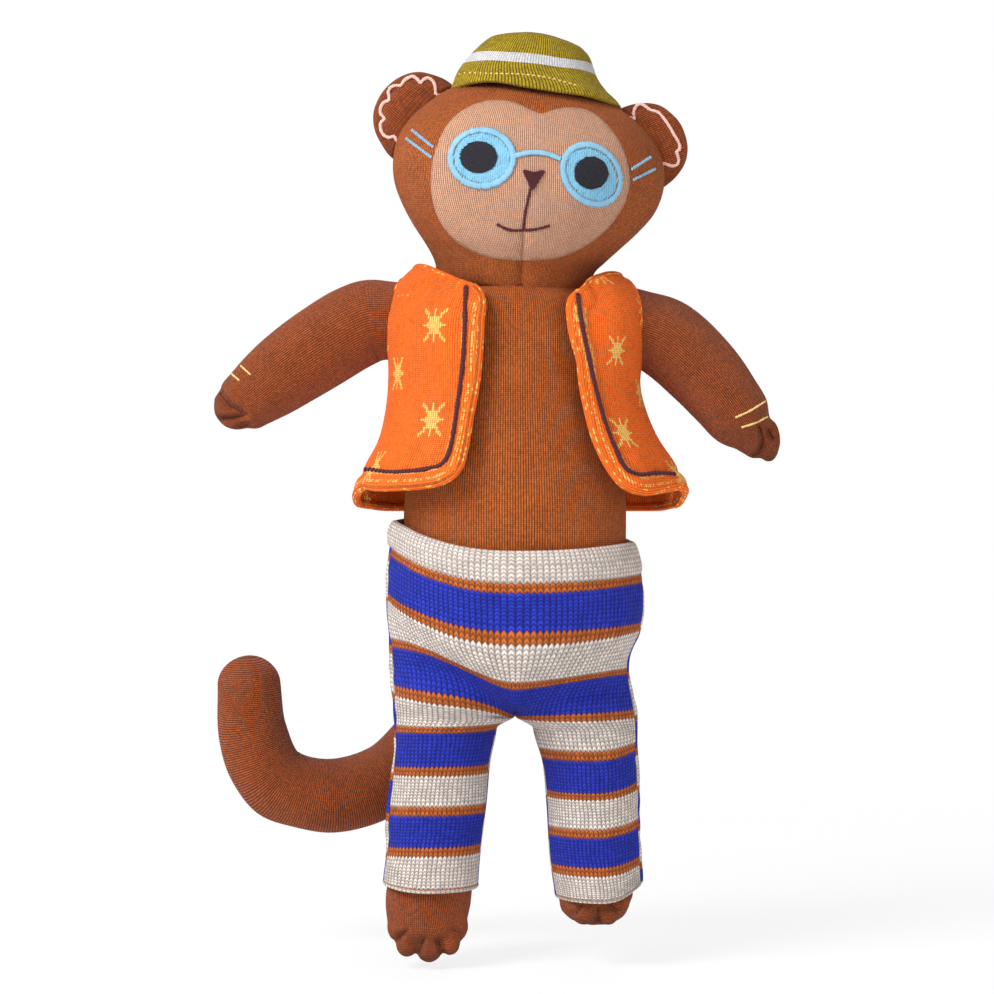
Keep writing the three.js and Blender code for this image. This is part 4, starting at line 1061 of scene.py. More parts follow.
@dataclass
class Face:
    """The beige face with its embroidered glasses, nose and mouth."""

    head: Surface
    # The outline seen from the front
    outline: Sequence[Pair] = (
        (-39.5, 148.0), (-37.1, 134.9), (-29.6, 123.1), (-17.4, 115.6), (2.8, 112.6), (22.1, 114.4), (36.2, 121.3),
        (47.5, 132.5), (53.6, 145.7), (52.6, 159.8), (45.6, 173.9), (35.2, 182.8), (24.9, 184.5), (17.9, 183.3),
        (12.7, 181.7), (8.0, 183.1), (-0.5, 187.1), (-9.9, 188.0), (-21.1, 185.2), (-30.5, 178.1), (-36.7, 166.4))
    thick: float = 0.7
    rim_wide: float = 3.4
    lenses: Sequence[Lens] = (
        Lens("right", (-15.5, 160.7), 16.4, 14.8, 0, (-16.9, 161.0), 8.5, 7.3,
             {"upper": ((-48.4, 173.9), (-38.2, 165.7)), "lower": ((-51.1, 170.0), (-39.0, 160.9))}),
        Lens("left", (35.9, 153.0), 16.7, 13.9, -50, (35.7, 153.7), 7.7, 7.5,
             {"upper": ((54.3, 155.3), (63.7, 161.2)), "lower": ((55.0, 150.4), (65.4, 155.5))}))
    bridge: Sequence[Pair] = ((0.5, 161.8), (4.7, 162.9), (8.7, 163.3), (13.2, 163.0), (17.4, 161.9), (21.1, 160.3))
    nose: Sequence[Pair] = ((4.1, 154.8), (8.7, 153.9), (13.5, 154.5), (11.2, 150.4), (8.2, 146.2), (5.7, 150.9))
    mouth_line: Sequence[Pair] = ((7.7, 148.0), (6.3, 141.9), (4.9, 135.4), (4.0, 127.4))
    mouth: Sequence[Pair] = ((-8.5, 129.6), (-2.5, 127.0), (3.6, 126.8), (9.4, 127.2), (15.7, 128.8))

    def build_patch(self) -> bpy.types.Object:
        """Builds the face itself, which lies close on the head."""
        edge = smooth_line(self.outline, 1.2, closed=True)
        cloth = Cloth.cut([edge], 1.5)
        gap = distance_to(cloth.points, edge)
        places, normal = self.head.front(cloth.points)
        raised = places + normal * (self.thick * np.sqrt(ease(gap, -0.4, 1.6)) - 0.12)[:, None]
        hidden = places - normal * 0.6
        count = len(places)
        knit = self.head_stitches(places)
        faces = cloth.faces + [[corner + count for corner in reversed(face)] for face in cloth.faces]
        rim = rim_of(cloth.faces)
        faces += [[b, a, a + count, b + count] for a, b in rim]
        both = np.vstack([knit, knit])
        maps = np.vstack([both[face] for face in faces])
        made = dress(make_mesh("face", np.vstack([raised, hidden]), faces, maps), Finish.FACE)
        face_outwards(made)
        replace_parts(made, "face_patch")
        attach(made, "head")
        return made

    def head_stitches(self, places: np.ndarray) -> np.ndarray:
        """Counts the stitches of the face so that they run on from the head's."""
        angle = np.arctan2(-places[:, 1], places[:, 0] - 10)
        return np.stack([-angle / math.pi * 165, (places[:, 2] - (places[:, 0] - 8) * -0.12) / COURSE], 1)

    def build(self) -> list[bpy.types.Object]:
        """Builds every piece of the face."""
        patch = self.build_patch()
        on = Surface(patch)
        made = [patch]
        for k, lens in enumerate(self.lenses):
            made += self.build_lens(lens, on, k)
        bridge = Stitches.band(on, self.bridge, 2.9, 0.5, 0.45).sew(
            "glasses_bridge_thread", Finish.BLUE, 0.66, 1.0, 3)
        made.append(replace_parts(bridge, "glasses_bridge"))
        nose = Stitches.fill(on, smooth_line(self.nose, 0.5, True), 0, 1.4, 0.4, 0.5).plus(
            Stitches.line(on, self.nose, 1.0, -0.35, 0.45, True)).sew(
            "nose_thread", Finish.MAROON, 0.8, 1.1, 5)
        made.append(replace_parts(nose, "nose"))
        lines = Stitches.line(on, self.mouth_line, 1.8, -0.3, 0.2).plus(
            Stitches.line(on, self.mouth, 1.8, -0.3, 0.2)).sew("mouth_thread", Finish.MAROON, 1.7, 1.0, 6)
        made.append(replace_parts(lines, "mouth"))
        for piece in made[1:]:
            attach(piece, "head")
        return made

    def build_lens(self, lens: Lens, on: Surface, seed: int) -> list[bpy.types.Object]:
        """Sews one rim, lens and pupil and the two lines of its temple."""
        half = self.rim_wide / 2
        middle_line = oval(lens.middle, lens.wide - half, lens.high - half, lens.turn)
        rim = Stitches.band(on, middle_line, self.rim_wide + 0.2, 0.5, 0.4, True).sew(
            f"glasses_rim_{lens.side}_thread", Finish.BLUE, 0.7, 1.1, 11 + seed, 0.16)
        inner = oval(lens.middle, lens.wide - self.rim_wide + 0.2, lens.high - self.rim_wide + 0.2, lens.turn)
        fill = Stitches.fill(on, inner, 62, 2.4, 0.44, 0.15).sew(
            f"glasses_lens_{lens.side}_thread", Finish.LENS, 0.8, 0.7, 21 + seed, 0.2)
        dark = oval(lens.pupil, lens.pupil_wide, lens.pupil_high)
        around = Stitches.line(on, oval(lens.pupil, lens.pupil_wide - 0.2, lens.pupil_high - 0.2), 1.2, -0.4, 0.55, True)
        pupil = Stitches.fill(on, dark, -12, 1.8, 0.36, 0.6).plus(around).sew(
            f"pupil_{lens.side}_thread", Finish.DARK, 0.72, 0.9, 31 + seed, 0.16)
        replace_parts(rim, f"glasses_rim_{lens.side}")
        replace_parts(fill, f"glasses_lens_{lens.side}")
        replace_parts(pupil, f"pupil_{lens.side}")
        made = [rim, fill, pupil]
        for name, line in lens.temples.items():
            temple = Stitches.line(self.head, line, 1.1, 0.0, 0.3).sew(
                f"temple_{lens.side}_{name}_thread", Finish.BLUE, 1.7, 1.2, 41 + seed, 0.1)
            made.append(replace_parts(temple, f"temple_{lens.side}_{name}"))
        return made


def rim_of(faces: list[list[int]]) -> list[tuple[int, int]]:
    """Finds the edges that only one face has, in that face's own order."""
    seen = {(face[k], face[(k + 1) % len(face)]) for face in faces for k in range(len(face))}
    return [pair for pair in seen if pair[::-1] not in seen]


@dataclass
class Ear:
    """A stuffed half round ear with a scalloped yarn line."""

    side: int
    name: str
    trim: Sequence[Pair]
    middle: float
    half_length: float
    height: float
    head: Head
    up: float = 72.4
    half_thick: float = 4.6
    lean: float = 33.4
    back: float = 5

    def build(self) -> list[bpy.types.Object]:
        """Builds the ear and its yarn."""
        lean = math.radians(self.lean)
        middle = np.array((self.side * self.middle, self.back, self.up))
        down = np.array((math.sin(lean) * self.side, 0, -math.cos(lean)))
        out = np.array((self.side * math.cos(lean), 0, math.sin(lean)))
        turn = np.linspace(-math.pi / 2, math.pi / 2, 62)[1:-1]
        angle = np.linspace(0, 2 * math.pi, 96, endpoint=False)
        c, s = np.cos(angle)[None, :], np.sin(angle)[None, :]
        t = turn[:, None]
        reach = np.where(c > 0, self.height * np.cos(t), self.half_thick * np.cos(t)) * c
        thick = self.half_thick * np.cos(t) ** 0.75 * np.sign(s) * np.abs(s) ** 0.85
        reach = reach - 4.5 * np.sin(t) ** 6
        rings = (middle + down * (self.half_length * np.sin(t))[..., None] + out * reach[..., None]
                 + np.array((0, 1, 0)) * thick[..., None])
        seam = np.exp(-(((reach / self.height) ** 2 + np.sin(t) ** 2 - 0.66) / 0.13) ** 2) * (c > 0) * (s < 0)
        rings += np.array((0, 1, 0)) * (0.7 * seam)[..., None] + 0.25 * ripple(rings, 14, 5)[..., None]
        # Painted shade: the darker copy of the body's brown yarn.
        made = dress(tube(f"ear_{self.name}_body", self.head.place(rings), count_stitches(rings, 62, COURSE, True)),
                     Finish.SHADED_BROWN)
        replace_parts(made, f"ear_{self.name}")
        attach(made, f"ear_{self.name}")
        yarn = Stitches.line(Surface(made), self.trim, 1.3, -0.4, 0.25).sew(
            f"ear_trim_{self.name}_yarn", Finish.PINK, 1.9, 1.2, 7)
        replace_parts(yarn, f"ear_trim_{self.name}")
        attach(yarn, f"ear_{self.name}")
        return [made, yarn]


@dataclass
class Hat:
    """The small bucket hat, a single skin knitted in three parts."""

    head: Head
    # Height in the head's frame, middle and half width, from the brim's edge to the middle of the top
    rows: Rows = ((86.6, -1.3, 40.4), (89.3, -2, 38.8), (93.3, -4, 35.7), (97.5, -5.6, 32.1), (101, -5.6, 30.1),
                  (106.3, -5.1, 26.9), (109.5, -4.9, 24.3), (112.4, -4.7, 20.9), (114.9, -4.6, 14),
                  (116.4, -4.5, 7), (116.9, -4.4, 2))
    depth: float = 0.97
    parts: Sequence[tuple[str, float, float, str]] = (
        ("hat_brim", 86.6, 98.1, "OLIVE"), ("hat_band", 98.1, 102.9, "WHITE"), ("hat_crown", 102.9, 116.9, "OLIVE"))
    wales: int = 150
    wall: float = 1.8
    dashes: Sequence[Pair] = ((-27.3, 200.0), (-24.9, 200.4), (-11.8, 200.5), (-2.4, 200.3), (7.1, 199.8),
                              (16.5, 198.3), (28.2, 195.1))

    def skin(self, low: float, high: float, inset: float, count: int) -> np.ndarray:
        """Makes the rings of one part, set in by a distance."""
        up = np.linspace(low, high, count)
        middle, wide = read_rows(self.rows, up).T
        angle = np.linspace(0, 2 * math.pi, 300, endpoint=False) + math.pi / 2
        rings = np.stack([middle[:, None] + (wide - inset)[:, None] * np.cos(angle),
                          self.depth * (wide - inset)[:, None] * np.sin(angle), np.repeat(up[:, None], 300, 1)], -1)
        flop = 0.7 * np.sin(angle * 3 + 1.1) + 0.5 * np.sin(angle * 5)
        lifted = 2.2 * ease(rings[..., 0], 5, 26) * (ease(up, 92, 99) * (1 - ease(up, 106, 115)))[:, None]
        rings[..., 2] += flop[None, :] * (1 - ease(up, 86, 94))[:, None] + lifted + 0.4 * ripple(rings, 26, 6)
        return rings

    def build(self) -> list[bpy.types.Object]:
        """Builds the brim, band and crown and the dashed stitching."""
        made = []
        for name, low, high, colour in self.parts:
            crown = name == "hat_crown"
            outer = self.skin(low, high, 0, 40)
            inner = self.skin(high, low, self.wall, 16) - (0, 0, 0.8)
            rings = np.concatenate([inner, outer] if crown else [outer, inner, outer[:1]])
            knit = count_stitches(rings, self.wales, COURSE)
            piece = closed_band(f"{name}_knit", self.head.place(rings), knit, crown)
            made.append(dress(piece, Finish[colour]))
            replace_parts(piece, name)
            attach(piece, "head")
        dashes = Stitches.line(Surface(made[0]), self.dashes, 1.5, 1.0, 0.1).sew(
            "hat_dashes", Finish.YELLOW, 0.85, 0.6, 9)
        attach(dashes, "head")
        brim, band, crown = made
        return [*made, dashes]


def closed_band(name: str, rings: np.ndarray, knit: np.ndarray, poles: bool) -> bpy.types.Object:
    """Makes a body of rings that ends at poles, or that comes back to its first ring."""
    if poles:
        return tube(name, rings, knit)
    count, sides = len(rings) - 1, rings.shape[1]
    faces, maps = [], []
    for i in range(count):
        for j in range(sides):
            nxt, k = (i + 1) % count, (j + 1) % sides
            faces.append([i * sides + j, i * sides + k, nxt * sides + k, nxt * sides + j])
            maps.append(knit[[i, i, i + 1, i + 1], [j, j + 1, j + 1, j]])
    made = make_mesh(name, rings[:-1].reshape(-1, 3), faces, np.concatenate(maps))
    face_outwards(made)
    return made


@dataclass
class Arm:
    """A stuffed arm with fingers that stitches draw in."""

    name: str
    shoulder: tuple[float, float, float]
    rows: Rows  # x, y, z from the shoulder, half width, half depth
    fingers: Sequence[Sequence[Pair]]
    wrist: Sequence[Sequence[Pair]]
    lobes: Rows  # the hand's x and z, half width, half depth and half height

    def build(self) -> list[bpy.types.Object]:
        """Builds the arm, the stitches between its fingers, which are dark with painted crease shade, and the lines at
        its wrist.
        """
        rows = [(x + self.shoulder[0], y, z + self.shoulder[2], wide, deep) for x, y, z, wide, deep in self.rows]
        route = Route(rows)
        rings = route.rings(60, 64, 1, 0.72)
        rings += unit(rings - rings.mean(1, keepdims=True)) * (0.4 * ripple(rings, 40, 4))[..., None]
        shapes = [tube("arm", rings, np.zeros((len(rings), 65, 2)))]
        for x, z, wide, deep, high in self.lobes:
            shapes.append(ball(np.array((x, 0, z)), (wide, deep, high), np.eye(3)))
        made = stuffed(f"arm_{self.name}_body", shapes, route, 1.1, 112, 5)
        draw_in(made, self.fingers, 2.6, 1.5)
        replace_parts(made, f"arm_{self.name}")
        on = Surface(made)
        body = f"arm_{self.name}"
        lines = [Stitches.line(on, line, 1.2, -0.2, 0.0) for line in self.fingers]
        dents = lines[0]
        for line in lines[1:]:
            dents = dents.plus(line)
        marks = [Stitches.line(on, line, 1.1, -0.4, 0.1) for line in self.wrist]
        bands = marks[0].plus(marks[1])
        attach(made, body)
        # The finger stitches' dark thread is painted crease shade.
        return [made,
                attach(dents.sew(f"finger_stitches_{self.name}", Finish.SHADE, 0.9, 0.7, 12), body),
                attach(bands.sew(f"wrist_lines_{self.name}", Finish.YELLOW, 1.15, 0.8, 13), body)]


@dataclass
class Leg:
    """A stuffed leg that ends in a paw with toes."""

    name: str
    hip: tuple[float, float, float]
    rows: Rows  # x, y, z from the hip, half width, half depth
    toes: Rows  # x, y, z, three half sizes
    gaps: Sequence[Sequence[Pair]]  # the stitches between the toes, seen from the front

    def build(self) -> list[bpy.types.Object]:
        """Builds the leg and the stitches between its toes, which are dark with painted crease shade."""
        rows = [(x + self.hip[0], y, z + self.hip[2], wide, deep) for x, y, z, wide, deep in self.rows]
        table = np.asarray(rows)
        way = unit(table[-1, :3] - table[-2, :3])
        route = Route(rows, tuple(np.cross(way, (1, 0, 0))))
        rings = route.rings(60, 64, 1, 0.8)
        rings += unit(rings - rings.mean(1, keepdims=True)) * (0.4 * ripple(rings, 24, 14))[..., None]
        shapes = [tube("leg", rings, np.zeros((len(rings), 65, 2)))]
        for x, y, z, wide, deep, high in self.toes:
            shapes.append(ball(np.array((x, y, z)), (wide, deep, high), np.eye(3)))
        made = stuffed(f"leg_{self.name}_body", shapes, route, 1.1, 110, 5)
        draw_in(made, self.gaps, 1.5, 1.2)
        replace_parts(made, f"leg_{self.name}")
        on = Surface(made)
        lines = [Stitches.line(on, line, 1.4, 0.1, 0.0) for line in self.gaps]
        dents = lines[0]
        for line in lines[1:]:
            dents = dents.plus(line)
        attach(made, f"leg_{self.name}")
        # The toe stitches' dark thread is painted crease shade.
        return [made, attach(dents.sew(f"toe_stitches_{self.name}", Finish.SHADE, 0.7, 0.6, 15),
                                               f"leg_{self.name}")]


@dataclass
class Tail:
    """The stuffed tail, a roll along a line that curls up."""

    seat: tuple[float, float, float] = (-8, 0, -72)
    rows: Rows = ((0, 17, 0, 12), (0, 36, 0, 12), (-0.2, 45.4, -0.2, 12), (-5.5, 55.8, -8.2, 13.4),
                  (-16, 60.6, -22, 15), (-33, 58.2, -43, 16.6), (-54, 52.8, -64, 17.4), (-85.2, 46.8, -72, 17.9),
                  (-109, 43.4, -63, 17.4), (-119, 41, -41.4, 16.5), (-120.6, 40, -17.5, 15.2))
    tip: float = 14

    def build(self) -> bpy.types.Object:
        """Builds and dresses the tail."""
        rows = [(x + self.seat[0], y, z + self.seat[2], r, r) for x, y, z, r in self.rows]
        route = Route(rows)
        middle, along, _, _, size = route.at(np.linspace(0, route.length, 110))
        past = np.sin(np.linspace(0, math.pi / 2, 24))[1:]
        line = np.vstack([middle, middle[-1] + along[-1] * (past * self.tip)[:, None]])
        girth = np.concatenate([size[:, 0], size[-1, 0] * np.sqrt(np.maximum(1 - past**2, 0.0006))])
        # Painted shade: the darker copy of the body's brown yarn.
        made = roll("tail_body", line, girth, Finish.SHADED_BROWN, sides=72, wales=118)
        swap_stitches(made)
        wobble = corners_of(made)
        wobble += 0.5 * ripple(wobble, 32, 2)[:, None]
        made.data.vertices.foreach_set("co", (wobble * MM).astype(np.float32).ravel())
        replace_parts(made, "tail")
        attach(made, "tail")
        return made


def swap_stitches(piece: bpy.types.Object) -> None:
    """Turns a piece's knitting by a quarter, so that its wales run round it."""
    layer = piece.data.uv_layers[KNIT]
    found = np.zeros(len(layer.data) * 2, np.float32)
    layer.data.foreach_get("uv", found)
    layer.data.foreach_set("uv", np.ascontiguousarray(found.reshape(-1, 2)[:, ::-1]).ravel())


@dataclass
class Waistcoat:
    """One half of the open waistcoat: a front, an armhole and half of the back."""

    side: int
    name: str
    # Height, half width, half depth in front and behind, and how square the section is
    rows: Rows
    front: Sequence[Pair]  # the free front edge seen from the front, from the neck down to the side
    line: Sequence[Pair]  # the dark line seen from the front
    collar: Sequence[tuple[float, float]]  # degrees round from the front and height, from the front's corner back
    stars: tuple[Pair, Pair]  # where two stars stand one over the other, seen from the front
    starry: float = 120  # no stars over this height
    armhole: tuple[float, float, float, float] = (91, 85.5, 18.5, 18.2)  # degrees, height, half sizes in millimetres
    back_hem: float = -3.2
    wall: float = 2.0
    scale: float = 0.93  # millimetres on the flat for a degree round

    def section(self, z: np.ndarray) -> np.ndarray:
        """Reads the section's sizes at a height."""
        return read_rows(self.rows, z)

    def lay(self, flat: np.ndarray) -> np.ndarray:
        """Lays flat points round the body.

        Args:
            flat: Pairs of millimetres round from the front's middle, and height.

        Returns:
            Points in the doll's frame.
        """
        turn = np.radians(flat[:, 0] / self.scale)
        wide, front, back, square = self.section(flat[:, 1]).T
        c, s = np.cos(turn), np.sin(turn)
        x = wide * np.abs(s) ** square
        deep = np.where(c > 0, front, back)
        folds = 1.2 * np.sin(turn * 9 + self.side) * (1 - ease(flat[:, 1], 0, 55)) * ease(np.abs(s), 0.2, 0.7)
        y = -(deep + folds) * np.sign(c) * np.abs(c) ** square
        return np.stack([self.side * (x + folds), y, flat[:, 1]], 1)

    def flatten(self, seen: Sequence[Pair]) -> np.ndarray:
        """Finds the flat place of what is seen from the front."""
        made = []
        for x, z in seen:
            depth = 40.0
            for _ in range(4):
                far = (depth + EYE[1]) / EYE[1]
                px, pz = EYE[0] + (x - EYE[0]) * far, EYE[2] + (z - EYE[2]) * far
                wide, front, _, square = self.section(np.array([pz]))[0]
                share = min(max(self.side * px / wide, 0.0), 0.9999)
                turn = math.asin(share ** (1 / square))
                depth = front * math.cos(turn) ** square
            made.append((math.degrees(turn) * self.scale, pz))
        return np.array(made)

    def build(self) -> list[bpy.types.Object]:
        """Builds the cloth, its rolled edges and the dark line."""
        front = set_in(smooth_line(self.flatten(self.front), 1.6), 2.1)
        half = 180 * self.scale
        side_hem = [(92 * self.scale, 2.6), (98 * self.scale, -0.6), (110 * self.scale, -2.4)]
        hem = smooth_line([front[-1], *side_hem, (140 * self.scale, self.back_hem), (half, self.back_hem)], 1.8)
        collar = smooth_line([tuple(front[0]), *((t * self.scale, z) for t, z in self.collar[1:])], 1.6)
        back = np.array([(half, z) for z in np.arange(self.back_hem, collar[-1][1], 2.0)[1:]])
        outer = np.vstack([front[:-1], hem[:-1], [hem[-1]], back, collar[::-1][:-1]])
        at, level, wide, high = self.armhole
        hole = oval((at * self.scale, level), wide, high, 0, 64)
        cloth = Cloth.cut([outer, hole], 2.0)
        edge = distance_to(cloth.points, np.vstack([front, hem[: len(hem) // 4]]))
        points = self.lay(cloth.points)
        normal = surface_normals(points, cloth.faces)
        if (normal * (points - (0, 0, 50))).sum() < 0:
            normal = -normal
            cloth.faces = [face[::-1] for face in cloth.faces]
        puff = 1.8 * np.sqrt(np.clip(1 - ((edge - 2.6) / 4.8) ** 2, 0, 1)) - 0.6 * np.exp(-(((edge - 8.2) / 1.4) ** 2))
        points = points + normal * puff[:, None]
        count = len(points)
        faces = cloth.faces + [[corner + count for corner in reversed(face)] for face in cloth.faces]
        faces += [[b, a, a + count, b + count] for a, b in rim_of(cloth.faces)]
        upper, lower = self.flatten(self.stars)
        drop = (cloth.points[:, 1] - upper[1]) / (upper[1] - lower[1])
        knit = np.stack([(cloth.points[:, 0] - upper[0] - drop * (upper[0] - lower[0])) / WALE, drop * STAR_ROWS], 1)
        both = np.vstack([knit, knit])
        made = make_mesh(f"waistcoat_{self.name}", np.vstack([points, points - normal * self.wall]), faces,
                         np.vstack([both[face] for face in faces]))
        for label, values in (("edge", edge + 20 * (cloth.points[:, 1] > front[0][1] - 7)), ("starry", (cloth.points[:, 1] < self.starry) & (cloth.points[:, 0] < half - 12))):
            made.data.attributes.new(label, "FLOAT", "POINT").data.foreach_set(
                "value", np.concatenate([values, values]).astype(np.float32))
        made.data.set_sharp_from_angle(angle=math.radians(60))
        dress(made, Finish.ORANGE)
        rolls = self.build_rolls(points, normal, cloth.points, {"hem": np.vstack([front, hem[1:]]), "neck": collar,
                                                               "armhole": hole})
        line = Stitches.line(Surface(made), self.line, 2.6, -0.9, 0.4).sew(
            f"waistcoat_line_{self.name}", Finish.MAROON, 2.7, 1.9, 17, 0.1)
        return [made, *rolls, line]

    def build_rolls(self, points: np.ndarray, normal: np.ndarray, flat: np.ndarray,
                    edges: dict[str, np.ndarray]) -> list[bpy.types.Object]:
        """Rolls each edge of the cloth."""
        made = []
        for edge_name, edge in edges.items():
            near = np.linalg.norm(edge[:, None] - flat[None], axis=2).argmin(1)
            closed = edge_name == "armhole"
            girth = {"hem": 2.1, "neck": 1.4, "armhole": 1.6}[edge_name]
            run = points[near] - normal[near] * (girth - 0.5)
            smooth = smooth_line(run, 1.0, closed)
            made.append(roll(f"waistcoat_{edge_name}_{self.name}", smooth, girth, Finish.EDGE, closed, 12, 11, 1.3))
        return made

    def attach(self, pieces: list[bpy.types.Object]) -> None:
        """Bakes each piece's place into its mesh."""
        for piece in pieces:
            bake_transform(piece)


def set_in(line: np.ndarray, distance: float) -> np.ndarray:
    """Moves a flat line over to the left of its own way."""
    along = unit(np.gradient(line, axis=0))
    return line + np.stack([-along[:, 1], along[:, 0]], 1) * distance


def surface_normals(points: np.ndarray, faces: list[list[int]]) -> np.ndarray:
    """Works out the way that a cloth faces at each point."""
    corners = np.array([face[:3] for face in faces])
    a, b, c = (points[corners[:, k]] for k in range(3))
    flat = np.cross(b - a, c - a)
    found = np.zeros_like(points)
    for k in range(3):
        np.add.at(found, corners[:, k], flat)
    return unit(found)


@dataclass
class TrouserLeg:
    """One half of the trousers: a leg and its side of the hips, ring by ring of knitting."""

    side: int
    name: str
    # Stitches down from the waist, and the heights at the outer side, in front and behind
    courses: Rows
    outer: Rows  # height and the outer side's distance from the middle
    inner: Rows  # height and the inner side's
    depth: Rows = ((-190, 23.5, 23.5), (-120, 24, 25), (-104, 28, 31), (-90, 38.5, 42), (-75, 44.5, 46),
                   (-50, 46.5, 46.5), (-20, 45.4, 45.4), (10, 44.6, 44.6))
    wall: float = 1.8
    seam: Pair = (0.03, 0.455)  # where the front ends, as shares of the way round from the inner side
    back_shift: float = 9.4  # how far the back's stripes are off, in stitches

    def rings(self, inset: float, counts: np.ndarray | None = None) -> tuple[np.ndarray, np.ndarray, np.ndarray]:
        """Works out the knitting's rings.

        Args:
            inset: How far in from the outside.
            counts: Each ring's stitches down from the waist, or None for all the rings of the half.

        Returns:
            The points by ring and column, each ring's stitches down from the waist, and each column's share round.
        """
        if counts is None:
            counts = np.linspace(1, float(np.asarray(self.courses)[-1][0]), 170)
        edge, front, back = (c[:, None] for c in read_rows(self.courses, counts).T)
        share = np.linspace(0, 1, 129)[None, :]
        into = ease(-front, 66, 104)  # 0 at the hips, 1 in the leg
        near = np.where(share < 0.25, 1, np.cos(math.pi * (share - 0.25) * 2) ** 2)
        far = np.where(share > 0.75, 1, np.cos(math.pi * (0.75 - share) * 2) ** 2)
        hips = np.abs(np.cos(math.pi * share)) ** (2 + 4 * into)
        apart = ease(-front, 98, 112)  # 1 where each leg has a front of its own
        ahead = np.where(share < 0.5, (1 - apart) * hips + apart * near, 0)
        behind = np.where(share >= 0.5, (1 - apart) * hips + apart * far, 0)
        z = edge + (front - edge) * ahead + (back - edge) * behind
        wide = read_rows(self.outer, z)[..., 0] - inset
        close = read_rows(self.inner, z)[..., 0] * ease(-z, 101, 107) + inset * into
        deep = read_rows(self.depth, z)
        depth = np.where(share < 0.5, deep[..., 0], deep[..., 1]) - inset
        middle, half = (wide + close) / 2, (wide - close) / 2
        turn = 2 * math.pi * share
        x = (1 - into) * wide * np.sin(math.pi * share) ** 0.9 + into * (middle - half * np.cos(turn))
        round_leg = ease(-front, 94, 103.5)
        y = -(1 - round_leg) * depth * np.cos(math.pi * share) - round_leg * depth * np.sin(turn)
        rings = np.stack([self.side * x, y, z], -1)
        soft = ease(np.minimum(share, 1 - share), 0, 0.08) * ease(counts, 2, 14)[:, None]
        folds = 0.8 * ripple(rings, 34, 21) + 0.35 * ripple(rings, 13, 22)
        stitched = np.exp(-(((share - self.seam[1]) / 0.006) ** 2))
        rings += unit(rings * (1, 1, 0)) * (soft * folds - 0.7 * stitched)[..., None]
        return rings, counts, share[0]

    def build(self) -> bpy.types.Object:
        """Builds and dresses the half."""
        outside, counts, share = self.rings(0)
        inside, _, _ = self.rings(self.wall)
        rows, columns = outside.shape[:2]
        points = np.vstack([outside.reshape(-1, 3), inside.reshape(-1, 3)])
        i, j = (g.ravel() for g in np.meshgrid(np.arange(rows - 1), np.arange(columns - 1), indexing="ij"))
        quads = np.stack([i * columns + j, i * columns + j + 1, (i + 1) * columns + j + 1, (i + 1) * columns + j], 1)
        shell = rows * columns
        faces = quads.tolist() + (quads[:, ::-1] + shell).tolist()
        for start, step, count in ((0, 1, columns - 1), ((rows - 1) * columns, 1, columns - 1),
                                   (0, columns, rows - 1), (columns - 1, columns, rows - 1)):
            for k in range(count):
                a, b = start + k * step, start + (k + 1) * step
                turned = (start == 0 and step == 1) or start == columns - 1
                faces.append([b, a, a + shell, b + shell] if turned else [a, b, b + shell, a + shell])
        corner = [np.asarray(face) % shell for face in faces]
        middle = np.array([share[face % columns].mean() for face in corner])
        level = np.array([counts[face // columns].mean() for face in corner])
        into = ease(-read_rows(self.courses, level)[:, 1], 98, 106)
        front = (middle > self.seam[0] * into) & (middle < self.seam[1])
        maps = []
        for face, ahead in zip(corner, front):
            across = share[face % columns] * TROUSER_WALES
            down = counts[face // columns]
            maps.append(np.stack([across, down if ahead else down + self.back_shift], 1))
        made = make_mesh(f"trousers_{self.name}", points, faces, np.vstack(maps))
        made.data.set_sharp_from_angle(angle=math.radians(60))
        face_outwards(made)
        return dress(made, Finish.STRIPED)

    def attach(self, piece: bpy.types.Object) -> None:
        """Bakes the half's place into its mesh."""
        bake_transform(piece)


